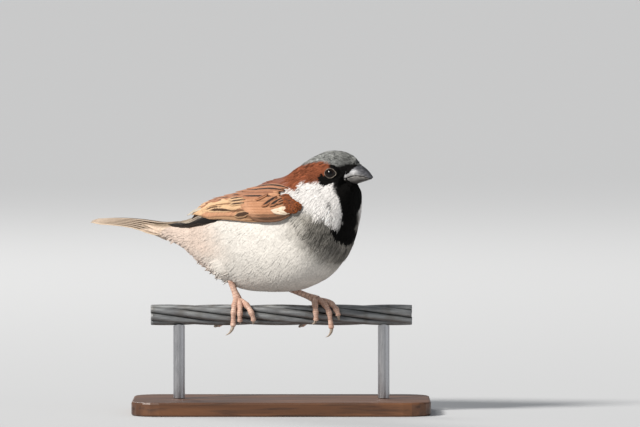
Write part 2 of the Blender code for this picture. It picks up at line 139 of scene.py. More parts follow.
def smooth(low, high, x):
    """0 at low, 1 at high, and an S-curve between."""
    t = np.clip((x - low) / (high - low), 0, 1)
    return t * t * (3 - 2 * t)


def unit(v):
    return v / np.maximum(np.linalg.norm(v, axis=-1, keepdims=True), 1e-9)


def rounded(angle, power):
    """Up and across at an angle on a closed curve: power 2 gives a circle, more is squarer."""
    c, n = np.cos(angle), np.sin(angle)
    return np.sign(c) * np.abs(c) ** (2 / power), np.sign(n) * np.abs(n) ** (2 / power)


def ring_grid(low, high, rows, columns):
    """Values along a tube and angles round it, both (rows, columns)."""
    turns = np.linspace(0, math.tau, columns, endpoint=False)
    return np.meshgrid(np.linspace(low, high, rows), turns, indexing="ij")


def body_point(s, a):
    """A point on the bird's outline."""
    v = spline(BODY, s)
    up, side = rounded(a, BODY_POWER)
    f = (v[..., 0] + v[..., 2]) / 2 + (v[..., 0] - v[..., 2]) / 2 * up
    z = (v[..., 1] + v[..., 3]) / 2 + (v[..., 1] - v[..., 3]) / 2 * up
    return np.stack([f, v[..., 4] * side * (1 - v[..., 5] * up), z], -1)


def body_frame(s, a):
    """The point, its outward normal, and the direction along the body towards the tail."""
    s, a = np.broadcast_arrays(np.asarray(s, float), np.asarray(a, float))
    ds, da = 0.03, 0.02
    along = body_point(np.minimum(s + ds, LAST), a) - body_point(np.maximum(s - ds, 0), a)
    around = body_point(s, a + da) - body_point(s, a - da)
    return body_point(s, a), unit(np.cross(around, along)), unit(along)


def thigh_bulge(point, normal):
    """How far the surface is pushed out, along its normal, to cover the thighs."""
    push = np.zeros(point.shape[:-1])
    for centre, radii in THIGHS:
        p = (point - np.array(centre)) / np.array(radii)
        d = normal / np.array(radii)
        a, b, c = (d * d).sum(-1), (p * d).sum(-1), (p * p).sum(-1) - 1
        root = b * b - a * c
        reach = np.where(root > 0, (-b + np.sqrt(np.maximum(root, 0))) / a, 0)
        push = np.maximum(push, np.clip(reach, 0, 4))
    return push


def wing_point(row, column, side):
    """A point on the outside of a folded wing, and the outward normal there."""
    def at(r, c):
        v = spline(WING, r)
        lower, upper, arch = v[..., 0:3], v[..., 3:6], v[..., 6:7]
        chord = upper - lower
        out = unit(np.stack([chord[..., 0] * 0, chord[..., 2], -chord[..., 1]], -1))
        return lower + chord * c[..., None] + out * arch * 4 * (c * (1 - c))[..., None]

    row, column = np.broadcast_arrays(np.asarray(row, float), np.asarray(column, float))
    point = at(row, column)
    back = at(np.minimum(row + 0.05, LAST_ROW), column) - at(np.maximum(row - 0.05, 0), column)
    rise = at(row, column + 0.03) - at(row, column - 0.03)
    normal = unit(np.cross(rise, back))
    normal *= np.where(normal[..., 1:2] < 0, -1, 1)
    mirror = np.array((1, side, 1))
    return point * mirror, normal * mirror


def to_world(p):
    """The bird's frame, in millimetres, turned on the perch."""
    f, l, z = np.moveaxis(np.asarray(p, float), -1, 0)
    c, s = math.cos(BIRD_TURN), math.sin(BIRD_TURN)
    return np.stack([BIRD_CENTRE_X + f * c + l * s, -f * s + l * c, WIRE_HEIGHT + z], -1)


# ------------------------------------------------------------------ colours
def srgb(r, g, b):
    c = np.array((r, g, b), float) / 255
    return np.where(c < 0.04045, c / 12.92, ((c + 0.055) / 1.055) ** 2.4)


GREY_CROWN = srgb(132, 133, 130)
CHESTNUT = srgb(124, 70, 47)
BLACK = srgb(11, 10, 9)
WHITE = srgb(228, 224, 220)
BREAST = srgb(158, 153, 144)
BELLY = srgb(214, 209, 201)
VENT = srgb(198, 178, 164)
MANTLE = srgb(148, 104, 78)
RUMP = srgb(132, 116, 98)
DARK = srgb(58, 40, 28)
# Edges of the markings, as degrees from the back by station.
CROWN_EDGE = [(0, 30), (1.0, 42), (2.1, 57), (2.6, 60), (3.3, 60), (3.56, 54), (3.84, 48), (4.2, 43),
              (4.6, 37), (5.0, 31), (5.4, 22), (5.8, 8), (6.1, -10), (6.3, -20)]
CHEEK_TOP = [(3.0, 92), (3.6, 90), (4.1, 82), (4.36, 77), (5.0, 69), (5.3, 64), (5.48, 65), (5.62, 69),
             (5.76, 67), (5.88, 62), (6.0, 57), (6.2, 53), (6.4, 50), (7.0, 46), (7.4, 45)]
BIB_EDGE = [(3.0, 96), (3.2, 112), (3.32, 121), (3.48, 133), (3.72, 146), (4.24, 151), (4.84, 144),
            (5.0, 137), (5.14, 132), (5.3, 135), (5.42, 148), (5.5, 162), (5.56, 176), (5.6, 192), (9, 200)]
LEFT_BIB_EDGE = [(2.6, 90), (2.9, 150), (3.2, 166), (4.5, 168), (5.0, 150), (5.3, 130)]
WHITE_EDGE = [(3.4, 162), (4.24, 158), (4.84, 146), (5.0, 130), (5.5, 105), (5.9, 90), (6.4, 74), (7, 58)]
BACK_EDGE = [(6.3, 48), (7.0, 50), (7.6, 56), (8, 55), (10, 46), (12, 40)]
# The edge of the black face, as a station by degrees from the back.
FACE_EDGE = [(50, 3.3), (84, 3.42), (93, 3.56), (102, 3.5), (119, 3.3), (150, 3.1)]


def value_noise(p, size, seed=0):
    """Smooth noise from 0 to 1 at points in millimetres."""
    q = np.asarray(p) / size + seed * 17.31
    i = np.floor(q).astype(np.int64)
    f = q - i
    f = f * f * (3 - 2 * f)
    total = 0
    for corner in range(8):
        o = np.array([(corner >> k) & 1 for k in range(3)])
        h = (i + o) @ np.array([374761393, 668265263, 2147483647]) + seed * 1274126177
        h = (h ^ (h >> 13)) * 1274126177 & 0xFFFFFFFF
        r = ((h ^ (h >> 16)) & 0xFFFF) / 65535.0
        total = total + r * np.prod(np.where(o == 1, f, 1 - f), axis=-1)
    return total


def half_turn(a):
    """The same angle, between -pi and pi."""
    return (a + math.pi) % math.tau - math.pi


def from_back(a):
    """How many degrees an angle is from the middle of the back."""
    return np.degrees(np.abs(half_turn(a)))


def paint(colour, other, mask):
    """The colour, with another one over it where the mask is 1."""
    return colour + (other - colour) * mask[..., None]


def underparts(s, deg, p, wobble):
    """Greyer at the side of the breast, creamy on the flank and pinkish towards the tail, with painted shade
    over the side of the breast and a little on the flank.
    """
    under = BREAST + (BELLY - BREAST) * smooth(6.0, 7.6, s + wobble * 0.3)[..., None]
    # painted shade on the side of the breast: mottled, with one darker patch, and all of it a little darker
    breast_painted_shade = smooth(7.4, 6.0, s) * smooth(98, 116, deg)
    mottle = (0.35 + 0.65 * smooth(0.3, 0.75, value_noise(p, 2.4, 5))) * breast_painted_shade
    patch = np.exp(-((s - 5.8) / 0.8) ** 2 - ((deg - 124) / 15) ** 2)
    under = under * ((1 - 0.52 * mottle) * (1 - 0.4 * patch) * (1 - 0.18 * breast_painted_shade))[..., None]
    # painted shade: the flank a little darker from the middle of the body back, less so low on the belly
    under = under * (1 - 0.1 * smooth(8.6, 10.4, s) * smooth(150, 110, deg))[..., None]
    under = under * (1 - 0.3 * smooth(12.4, 13.6, s) * smooth(78, 62, deg))[..., None]
    rear = np.maximum(smooth(10.2, 12.2, s + wobble * 0.2), smooth(9.5, 11.3, s) * smooth(108, 84, deg))
    return paint(under, VENT, rear * 0.85)


def black_parts(s, a, deg, p, soft, fine):
    """Where the lores, a ring round the eye, the chin and the bib are black, from 0 to 1."""
    left = np.sin(a) > 0
    ahead = np.where(p[..., 0] > EYE[0], 0.55, 1.15)
    eye_gap = np.hypot((p[..., 0] - EYE[0]) * ahead, p[..., 2] - EYE[2] + 0.7)
    near_eye = smooth(3.5, 2.9, eye_gap + fine * 0.2) * (np.abs(p[..., 1]) > 3)
    chin = 0.65 * smooth(125, 160, deg) * left
    face = smooth(0.12, -0.12, s + chin + fine * 0.05 - line(deg, FACE_EDGE))
    edge = line(s, BIB_EDGE)
    edge = np.where(left, np.maximum(edge, line(s, LEFT_BIB_EDGE)), edge)
    bib = smooth(-4, 4, soft - edge) * (s < 6.4)
    return np.maximum(np.maximum(near_eye, face), bib)


def markings(s, a):
    """The bird's colours at a place on its surface. The bib is narrower on the left."""
    s, a = np.broadcast_arrays(np.asarray(s, float), np.asarray(a, float))
    p = body_point(s, a)
    deg = from_back(a)
    wobble, fine = ((value_noise(p, size, seed) - 0.5) * 2 for size, seed in ((2.2, 1), (1.0, 2)))
    soft = deg + wobble * 5 + fine * 2
    # the underparts, with painted shade on the side of the breast and on the flank
    colour = underparts(s, deg, p, wobble)
    # the white of the cheek and the side of the neck, with a few grey streaks
    white = smooth(7.2, 6.6, s + wobble * 0.2) * smooth(10, -10, deg + wobble * 8 - line(s, WHITE_EDGE))
    colour = paint(colour, WHITE, white)
    streaks = np.exp(-((s - 4.25) / 0.17) ** 2 - ((deg - 111) / 8) ** 2)
    colour *= 1 - 0.7 * (streaks * smooth(0.3, 0.5, value_noise(p, 0.9, 8)))[..., None]
    # chestnut from behind the eye to the shoulder, over it the mantle, and the rump
    chestnut = smooth(3.0, -3.0, soft - line(s, CHEEK_TOP)) * (1 - smooth(4.0, 3.7, s) * smooth(76, 82, deg))
    tone = 1 + 0.2 * wobble + 0.16 * fine + 0.25 * smooth(4.8, 6.2, s)
    colour = paint(colour, CHESTNUT * tone[..., None], chestnut)
    back = smooth(6.3, 7.2, s + wobble * 0.2) * smooth(6, -6, deg + wobble * 4 - line(s, BACK_EDGE))
    colour = paint(colour, MANTLE * (1 + 0.1 * wobble)[..., None], back)
    colour = paint(colour, RUMP, smooth(10.6, 11.6, s) * smooth(6, -6, deg + wobble * 5 - 44))
    colour = paint(colour, BLACK, black_parts(s, a, deg, p, soft, fine))
    tone = 1 + 0.2 * fine + 0.12 * wobble - 0.5 * smooth(3.9, 2.4, s)
    colour = paint(colour, GREY_CROWN * tone[..., None], smooth(3.5, -3.5, soft - line(s, CROWN_EDGE)))
    # dark flecks where chestnut, white and wing meet
    away = np.hypot(p[..., 0] - 24.8, p[..., 2] - 55.5) + wobble * 0.3
    fleck = smooth(1.5, 0.7, away) * (np.abs(p[..., 1]) > 8)
    colour *= (1 - 0.8 * fleck * smooth(-0.3, 0.3, fine))[..., None]
    return np.clip(colour, 0.002, 1)


# ------------------------------------------------------------------ meshes
def add_mesh(name, points, faces, material, slot=None, colours=None, uvs=None, values=None, normals=None):
    """A smooth mesh from points in world millimetres and an array of triangles or quads."""
    points = np.ascontiguousarray(points, np.float32) * MM
    faces = np.ascontiguousarray(faces, np.int32)
    mesh = bpy.data.meshes.new(name)
    mesh.vertices.add(len(points))
    mesh.vertices.foreach_set("co", points.ravel())
    mesh.loops.add(faces.size)
    mesh.loops.foreach_set("vertex_index", faces.ravel())
    mesh.polygons.add(len(faces))
    mesh.polygons.foreach_set("loop_start", np.arange(0, faces.size, faces.shape[1], dtype=np.int32))
    mesh.update(calc_edges=True)
    mesh.validate()
    mesh.shade_smooth()
    if colours is not None:
        data = np.ones((len(points), 4), np.float32)
        data[:, :3] = colours
        mesh.attributes.new("Col", "FLOAT_COLOR", "POINT").data.foreach_set("color", data.ravel())
    for key, value in (values or {}).items():
        value = np.asarray(value, np.float32)
        kind, field = ("FLOAT", "value") if value.ndim == 1 else ("FLOAT_VECTOR", "vector")
        mesh.attributes.new(key, kind, "POINT").data.foreach_set(field, value.ravel())
    if uvs is not None:
        layer = mesh.uv_layers.new(name="OFBake")
        layer.data.foreach_set("uv", np.ascontiguousarray(uvs[faces.ravel()], np.float32).ravel())
    if normals is not None:
        mesh.normals_split_custom_set_from_vertices(np.ascontiguousarray(normals, np.float32))
    mesh.materials.append(material)
    obj = bpy.data.objects.new(name, mesh)
    bpy.context.scene.collection.objects.link(obj)
    if slot:
        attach(obj, "root")
    return obj


def add_solid(*args, weld=False, **data):
    """add_mesh() with all faces turned outwards and, where asked, points in the same place made one."""
    obj = add_mesh(*args, **data)
    shape = bmesh.new()
    shape.from_mesh(obj.data)
    if weld:
        bmesh.ops.remove_doubles(shape, verts=shape.verts, dist=1e-7)
    bmesh.ops.recalc_face_normals(shape, faces=shape.faces)
    shape.to_mesh(obj.data)
    shape.free()
    obj.data.shade_smooth()
    return obj


def grid_faces(rows, columns, wrap=True):
    """Quads over a grid of points, joined round to the first column or not."""
    r, c = np.meshgrid(np.arange(rows - 1), np.arange(columns if wrap else columns - 1), indexing="ij")
    d = (c + 1) % columns
    here, below = r * columns, (r + 1) * columns
    return np.stack([here + c, here + d, below + d, below + c], -1).reshape(-1, 4)


def slab_faces(rows, columns):
    """Quads of a closed slab: a grid of points, the same grid again under it, and a rim between them."""
    count = rows * columns
    quads = grid_faces(rows, columns, wrap=False)
    grid = np.arange(count).reshape(rows, columns)
    rim = np.concatenate([grid[0], grid[1:, -1], grid[-1, -2::-1], grid[-2:0:-1, 0]])
    after = np.roll(rim, -1)
    sides = np.stack([after, rim, rim + count, after + count], -1)
    return np.concatenate([quads, quads[:, ::-1] + count, sides])


def tube(rings, turned=False):
    """Points and triangles of a tube of rings, (rows, columns, 3), closed by a point at each end. Where it is
    turned, each quad is cut along its other diagonal."""
    rows, columns = rings.shape[:2]
    points = np.vstack([rings.reshape(-1, 3), rings[0].mean(0), rings[-1].mean(0)])
    quads = grid_faces(rows, columns)[:, ::-1] if turned else grid_faces(rows, columns)
    faces = [quads[:, [0, 1, 2]], quads[:, [0, 2, 3]]]
    for row, centre in ((0, rows * columns), (rows - 1, rows * columns + 1)):
        ring = row * columns + np.arange(columns)
        faces.append(np.stack([ring, np.roll(ring, -1), np.full(columns, centre)], -1))
    return points, np.concatenate(faces)


def with_ends(colours):
    """The colours of a tube's rings, in a row, and those of the two points that tube() adds."""
    return np.vstack([colours.reshape(-1, 3), colours[0, 0], colours[-1, 0]])


# ------------------------------------------------------------------ materials
def make_material(name, colour=(0.5, 0.5, 0.5), roughness=0.6, metallic=0.0, specular=0.5):
    material = bpy.data.materials.new(name)
    material.use_nodes = True
    shader = material.node_tree.nodes["Principled BSDF"]
    shader.inputs["Base Color"].default_value = (*[float(c) for c in colour], 1)
    shader.inputs["Roughness"].default_value = roughness
    shader.inputs["Metallic"].default_value = metallic
    shader.inputs["Specular IOR Level"].default_value = specular
    return material, material.node_tree, shader


def node(tree, kind, inputs=None, **settings):
    made = tree.nodes.new("ShaderNode" + kind)
    for key, value in settings.items():
        setattr(made, key, value)
    for key, value in (inputs or {}).items():
        if isinstance(value, bpy.types.NodeSocket):
            tree.links.new(value, made.inputs[key])
        else:
            made.inputs[key].default_value = value
    return made


def maths(tree, operation, a, b=0.0, c=0.0):
    return node(tree, "Math", {0: a, 1: b, 2: c}, operation=operation).outputs[0]


def scaled(tree, *pairs):
    """A vector from three (socket, factor) pairs."""
    products = {index: maths(tree, "MULTIPLY", *pair) for index, pair in enumerate(pairs)}
    return node(tree, "CombineXYZ", products).outputs[0]


def ramp(tree, value, low, high, at_low=0.0, at_high=1.0, **settings):
    return node(tree, "MapRange", {0: value, 1: low, 2: high, 3: at_low, 4: at_high}, **settings).outputs[0]


def noise(tree, place, scale, detail, distortion=0.0):
    inputs = {"Vector": place, "Scale": scale, "Detail": detail, "Distortion": distortion}
    return node(tree, "TexNoise", inputs).outputs["Fac"]


def attribute(tree, name, output="Fac"):
    return node(tree, "Attribute", attribute_name=name).outputs[output]


def object_place(tree, *scale):
    """Where a point is on its object, stretched where a scale is given."""
    place = node(tree, "TexCoord").outputs["Object"]
    return node(tree, "Mapping", {"Vector": place, "Scale": scale}).outputs[0] if scale else place


def mix(tree, factor, a, b, blend="MIX"):
    """Colour a, with b over it by the factor."""
    a, b = (x if isinstance(x, bpy.types.NodeSocket) else (*[float(v) for v in x], 1) for x in (a, b))
    return node(tree, "Mix", {0: factor, 6: a, 7: b}, data_type="RGBA", blend_type=blend).outputs[2]


def lit(tree, colour, light):
    """A colour made darker or lighter by a factor."""
    grey = node(tree, "CombineColor", {0: light, 1: light, 2: light}).outputs[0]
    return mix(tree, 1.0, colour, grey, "MULTIPLY")


def dress(tree, shader, colour, rough=None, height=None, strength=0.25, depth=0.0002):
    """Gives a shader its colour and, where they are given, its roughness and its bump."""
    tree.links.new(colour, shader.inputs["Base Color"])
    if rough is not None:
        tree.links.new(rough, shader.inputs["Roughness"])
    if height is not None:
        bump = node(tree, "Bump", {"Height": height, "Strength": strength, "Distance": depth})
        tree.links.new(bump.outputs[0], shader.inputs["Normal"])


def painted_material(name, roughness, specular, grain, detail, dark, light, rough=None, bump=None):
    """The colour painted on the mesh under fine noise, which can change the roughness and the height too."""
    material, tree, shader = make_material(name, roughness=roughness, specular=specular)
    fine = noise(tree, object_place(tree), grain, detail)
    colour = lit(tree, attribute(tree, "Col", "Color"), ramp(tree, fine, 0.3, 0.7, dark, light))
    polish = ramp(tree, fine, 0.3, 0.7, *rough) if rough else None
    dress(tree, shader, colour, polish, fine if bump else None, bump)
    return material


def feather_material(name, contrast=0.25, grain=900.0):
    """Small feathers: the painted colour, with fine grain."""
    dark, light = 1 - contrast, 1 + contrast * 0.6
    return painted_material(name, 0.85, 0.08, grain=grain, detail=3.0, dark=dark, light=light)


def vane_material(name):
    """Vaned feathers: a centre and an edge colour, a shaft, and barbs that run out from it to the tip."""
    material, tree, shader = make_material(name, roughness=0.66, specular=0.18)
    u, t, seed = node(tree, "SeparateXYZ", {0: attribute(tree, "vane", "Vector")}).outputs
    across = maths(tree, "ABSOLUTE", u)
    # barbs: thin lines that lean towards the tip
    run = maths(tree, "MULTIPLY", t, attribute(tree, "length"))
    lean = maths(tree, "SUBTRACT", run, maths(tree, "MULTIPLY", across, 3.2))
    barbs = noise(tree, scaled(tree, (lean, 5.5), (u, 0.7), (seed, 31.0)), 1.0, 2.0)
    blotch = noise(tree, scaled(tree, (lean, 1.1), (u, 1.5), (seed, 13.0)), 1.0, 2.0)
    # the dark centre narrows at the tip, and its rim is broken up by the barbs
    rag = maths(tree, "MULTIPLY", maths(tree, "SUBTRACT", barbs, 0.5), 0.55)
    tip = ramp(tree, t, 0.62, 0.98, 0.0, 0.6, interpolation_type="SMOOTHSTEP")
    ragged = maths(tree, "ADD", maths(tree, "ADD", across, rag), tip)
    is_edge = ramp(tree, maths(tree, "SUBTRACT", ragged, attribute(tree, "streak")), -0.08, 0.12)
    colour = mix(tree, is_edge, attribute(tree, "centre", "Color"), attribute(tree, "edge", "Color"))
    light = ramp(tree, barbs, 0.3, 0.7, 0.84, 1.12)
    light = maths(tree, "MULTIPLY", light, ramp(tree, blotch, 0.3, 0.7, 0.88, 1.1))
    light = maths(tree, "MULTIPLY", light, ramp(tree, across, 0.02, 0.06, 0.76, 1.0))
    dress(tree, shader, lit(tree, colour, light), height=barbs)
    return material


def skin_material(name, light, dark, scale, roughness=0.5, bump=0.4):
    """Bare skin or horn: two tones in soft noise, with a bump of the same noise."""
    material, tree, shader = make_material(name, light, roughness, specular=0.4)
    lumps = noise(tree, object_place(tree), scale, 4.0)
    dress(tree, shader, mix(tree, ramp(tree, lumps, 0.35, 0.65), dark, light), height=lumps, strength=bump)
    return material


# ------------------------------------------------------------------ skin
MOUTH_CORNER_HEIGHT, MOUTH_FOLD = 58.3, 2.4  # the skin sinks at the mouth's corners
THIGH_SHARE = 0.6  # of the thighs' bulge, which the coat's own depth fills up


def skin_point(s, a):
    """A point on the skin, with the outline's normal and its direction backwards."""
    point, normal, along = body_frame(s, a)
    forward, left, high = np.moveaxis(point, -1, 0)
    under_coat = line(s, [(0, 1.1), (2.0, 0.8), (3.0, 0.9), (5, 1.2), (7, 1.5), (12, 1.6), (14, 0.9)])
    fold = np.exp(-(((high - MOUTH_CORNER_HEIGHT) / 2.6) ** 2)) * smooth(1.6, 3.4, np.abs(left))
    fold = MOUTH_FOLD * fold * smooth(40.2, 42.6, forward)
    push = thigh_bulge(point, normal) * THIGH_SHARE - under_coat - fold
    return point + normal * push[..., None], normal, along


def skin_uv(s, a):
    turn = (np.asarray(a) / math.tau) % 1.0
    return np.stack([0.01 + 0.98 * np.asarray(s) / LAST, 0.01 + 0.98 * turn], -1)


def make_skin():
    """One closed skin under the coat, from the face to the tail's root."""
    s, a = ring_grid(0.02, LAST - 0.02, 240, 168)
    point, normal, _ = skin_point(s, a)
    ripple = (value_noise(point, 1.6, 8) - 0.5) * 0.25 * smooth(3, 6, s)
    point = point + normal * ripple[..., None]
    colours = markings(s, a) * (0.86 + 0.14 * value_noise(point, 0.8, 9))[..., None]
    uvs = np.vstack([skin_uv(s, a).reshape(-1, 2), skin_uv(s[[0, -1], 0], (0.5, 0.5))])
    points, faces = tube(point, turned=True)
    skin = add_solid("skin", to_world(points), faces, feather_material("skin_feather", 0.3, 1400.0),
                     "body_feathers", with_ends(colours), uvs)
    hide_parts("head", "neck", "trunk", "thigh_left", "thigh_right")


# ------------------------------------------------------------------ tufts
MOST_TUFTS = 11000  # in one piece
TUFT_RINGS = (1, 3, 3, 3, 1)  # points: a root, three rings of left, top and right, and a tip
TUFT_T = np.array((0.0, 0.2, 0.52, 0.82, 1.0))  # where they lie along it
TUFT_WIDTH = np.array((0.0, 0.85, 1.0, 0.6, 0.0))
TUFT_SHADE = np.repeat((0.0, 0.22, 0.6, 0.9, 1.0), TUFT_RINGS)[:, None]  # from the root's colour to the tip's
TUFT_SIDE = np.array((0, *(-1, 0, 1) * 3, 0))[:, None]
TUFT_PATCH = 0.0015  # half the size of a tuft's place in the baked picture


class Tufts(NamedTuple):
    """Small feathers, with one entry for each in every field."""

    root: np.ndarray
    along: np.ndarray  # the way it lies
    normal: np.ndarray
    length: np.ndarray
    width: np.ndarray
    lift: np.ndarray  # how steeply it leaves the skin
    base: np.ndarray  # its colour at the root
    tip: np.ndarray  # and at the tip
    uv: np.ndarray
    bend: np.ndarray  # how far its tip turns aside, in lengths
    sag: np.ndarray  # how far its tip comes down, in millimetres


def tuft_faces():
    """Triangles of one tuft."""
    faces = []
    for i in range(3):
        j = (i + 1) % 3
        faces.append((0, 1 + j, 1 + i))
        for ring in range(2):
            a, b = 1 + ring * 3, 4 + ring * 3
            faces += [(a + i, a + j, b + j), (a + i, b + j, b + i)]
        faces.append((7 + i, 7 + j, 10))
    return np.array(faces)[:, ::-1]


def build_tufts(name, tufts, material, slot="body_feathers", relief=0.35):
    """Many tufts as one mesh of thin closed leaves. Relief is how much each shows its own shape in light."""
    n = len(tufts.root)
    root, along, normal, length, width, lift, base, tip, uv, bend, sag = (x[:, None] for x in tufts)
    side = unit(np.cross(normal, along))
    along = unit(np.cross(side, normal))
    length, lift, sag, bend = (x[..., None] for x in (length, lift, sag, bend))
    t = TUFT_T[:, None]
    middle = root + along * length * t + normal * length * lift * (t - 0.55 * t**2)
    middle = middle + side * bend * length * t**2 - normal * sag * t**2
    half = (width / 2 * TUFT_WIDTH)[..., None]
    rings = np.stack([middle - side * half, middle + normal * half * 0.2, middle + side * half], 2)
    points = np.concatenate([middle[:, :1], rings[:, 1:4].reshape(n, 9, 3), middle[:, 4:]], 1)
    colours = base * (1 - TUFT_SHADE) + tip * TUFT_SHADE
    normals = None
    if relief:
        # the coat is shaded mostly as one surface, so that light falls softly over it
        soft = normal + side * TUFT_SIDE * relief + along * (TUFT_SHADE - 0.3) * relief
        normals = to_world(unit(soft).reshape(-1, 3)) - to_world(np.zeros(3))
    uvs = uv + TUFT_PATCH * np.hstack([np.repeat(TUFT_T * 2 - 1, TUFT_RINGS)[:, None], TUFT_SIDE])
    faces = (tuft_faces() + (np.arange(n) * sum(TUFT_RINGS))[:, None, None]).reshape(-1, 3)
    add_mesh(name, to_world(points.reshape(-1, 3)), faces, material, slot, colours.reshape(-1, 3),
             uvs.reshape(-1, 2), normals=normals)


def scatter(s_range, a_range, density, seed):
    """Even places over part of the surface. Density is a function of the angle, per square millimetre."""
    local = np.random.default_rng(seed)
    rows, columns = int((s_range[1] - s_range[0]) * 60), 360
    s, a = (np.linspace(*ends, count + 1) for ends, count in ((s_range, rows), (a_range, columns)))
    ds, da = s[1] - s[0], a[1] - a[0]
    s, a = np.meshgrid((s[1:] + s[:-1]) / 2, (a[1:] + a[:-1]) / 2, indexing="ij")
    here = body_point(s, a)
    ahead, across = body_point(np.minimum(s + ds, LAST), a) - here, body_point(s, a + da) - here
    share = np.linalg.norm(np.cross(ahead, across), axis=-1) * density(a)
    total = np.cumsum(share.ravel())
    count = int(total[-1])
    at = np.searchsorted(total, (np.arange(count) + local.random(count)) * total[-1] / count)
    at = np.clip(at, 0, share.size - 1)
    s = s.ravel()[at] + (local.random(count) - 0.5) * ds
    a = a.ravel()[at] + (local.random(count) - 0.5) * da
    return np.clip(s, 0.02, LAST - 0.03), half_turn(a)


def wing_edge(row):
    """The column at which the wing shows above the feathers of the breast and flank."""
    return line(row, [(0, 0.42), (0.6, 0.34), (1.2, 0.22), (2.0, 0.10), (3.0, 0.05)])


def wing_top(row):
    """The column at which the white side of the neck comes over the bend of the wing."""
    return line(row, [(0, 0.56), (0.4, 0.74), (0.9, 0.82), (1.5, 0.88), (2.0, 1.0)])


def under_wing(p):
    """Where a folded wing covers the surface, seen from the side: 1 well inside the wing's outline."""
    forward, left, high = np.moveaxis(p, -1, 0)
    rows = np.linspace(0.2, LAST_ROW, 60)
    edges = (wing_point(rows, column(rows), 1)[0] for column in (wing_edge, wing_top))
    lower, upper = (np.interp(-forward, -edge[:, 0], edge[:, 2]) for edge in edges)
    inside = smooth(0.6, 1.8, high - lower) * smooth(0.0, 1.5, upper - high - 0.3)
    return inside * smooth(27.0, 25.6, forward) * (np.abs(left) > 3.0) * (forward > -49)


def flow(s, a, normal, along):
    """The lie of the coat: backwards, and falling behind the eye and on the flanks and belly."""
    deg = from_back(a)
    fall = smooth(4.5, 7, s) * smooth(30, 70, deg) * smooth(175, 130, deg) * 0.45
    fall = fall + smooth(3.0, 4.2, s) * smooth(60, 90, deg) * smooth(7, 5, s) * 0.25
    direction = along + np.array((0, 0, -1)) * fall[..., None]
    return unit(direction - normal * np.sum(direction * normal, -1, keepdims=True))


def uneven(amount, shape, local, most=2):
    """Random factors around 1."""
    return 1 + amount * local.normal(0, 1, shape).clip(-most, most)


def vary(colours, amount, local):
    """Each colour a little darker or lighter."""
    colours = np.asarray(colours, float)
    return np.clip(colours * uneven(amount, (len(colours), 1), local), 0.003, 0.95)


def random_sizes(count, local, *ranges):
    """Lengths, widths and lifts of tufts, each anywhere in its range."""
    return [low + (high - low) * local.random(count) for low, high in ranges]


def tip_drop(s, a, point, normal, step, ahead, across):
    """How far the tip of a tuft, one step from its root, is above the skin there; 0 at the tail's root."""
    aa, ab, bb, sa, sb = (np.sum(p * q, -1) for p, q in ((ahead, ahead), (ahead, across), (across, across),
                                                         (step, ahead), (step, across)))
    det = aa * bb - ab**2
    tip_s, tip_a = s + (sa * bb - sb * ab) / det, a + (sb * aa - sa * ab) / det
    landing = skin_point(np.clip(tip_s, 0, LAST), tip_a)[0]
    return np.sum((point + step - landing) * normal, -1) * (tip_s < LAST - 0.1)


def coat(name, s_range, a_range, density, length, width, lift, seed, material, root_tone=0.8, contrast=0.05,
         jitter=0.16, relief=0.35):
    """A patch of small feathers, in as many pieces as it takes. Length and width are functions of station."""
    local = np.random.default_rng(seed + 1000)
    s, a = scatter(s_range, a_range, density, seed)
    outer = body_point(s, a)
    keep = local.random(len(s)) > under_wing(outer) * 1.2
    for side in SIDES.values():
        keep &= np.linalg.norm(outer - EYE * np.array((1, side, 1)), axis=-1) > EYE_RADIUS
    keep &= outer[:, 0] < bill_line(outer[:, 2])
    s, a = s[keep], a[keep]
    n, deg = len(s), from_back(a)
    point, normal, along = skin_point(s, a)
    # where the thigh swells the skin, the feathers follow the swelling
    ahead = (skin_point(s + 0.02, a)[0] - point) / 0.02
    across = (skin_point(s, a + 0.02)[0] - point) / 0.02
    swollen = unit(np.cross(ahead, across))
    swollen *= np.sign(np.sum(swollen * normal, -1, keepdims=True))
    normal = np.where((s > 7.5)[:, None], swollen, normal)
    direction = flow(s, a, normal, along)
    clump = (value_noise(point, 6.0, 12) - 0.5) * 0.3
    aside = clump + local.normal(0, jitter, n)
    direction = unit(direction + unit(np.cross(normal, direction)) * aside[:, None])
    length = length(s) * uneven(0.18, n, local)
    width = width(s) * uneven(0.15, n, local)
    lift = lift * uneven(0.3, n, local) * (0.75 + 0.5 * value_noise(point, 3.0, 13))
    speckle = 0.27 * smooth(62, 50, deg) * smooth(6.4, 5.0, s)
    speckle = speckle + 0.2 * smooth(95, 115, deg) * smooth(7.2, 6, s) * smooth(4, 4.8, s)
    bright = uneven(contrast + speckle, n, local, 2.2) + 0.16 * (value_noise(point, 3.5, 14) - 0.5)
    tip = np.clip(markings(s, a) * bright[:, None], 0.002, 0.95)
    bend = local.normal(0, 0.08, n)
    # each lies along the curve of the body, apart from those that show no relief and stand clear of it
    sag = tip_drop(s, a, point, normal, direction * length[:, None], ahead, across) * (relief is not None)
    sag = np.clip(sag * 0.85, -0.2 * length, 0.4 * length)
    base, uv = tip * root_tone, skin_uv(s, a)
    tufts = Tufts(point, direction, normal, length, width, lift, base, tip, uv, bend, sag)
    order = np.argsort(s, kind="stable")
    for index, part in enumerate(np.array_split(order, math.ceil(n / MOST_TUFTS))):
        build_tufts(f"{name}_{index + 1}", Tufts(*(x[part] for x in tufts)), material, relief=relief)


def bill_line(z):
    """Where the feathers of the face end at the bill, as F at a height."""
    return line(z, [(50, 60), (56.6, 60), (56.9, 45.4), (57.4, 43.6), (58.4, 42.6), (59.2, 42.1),
                    (59.8, 42.0), (60.6, 42.4), (62, 43.6), (65.4, 46.4), (65.8, 60)])


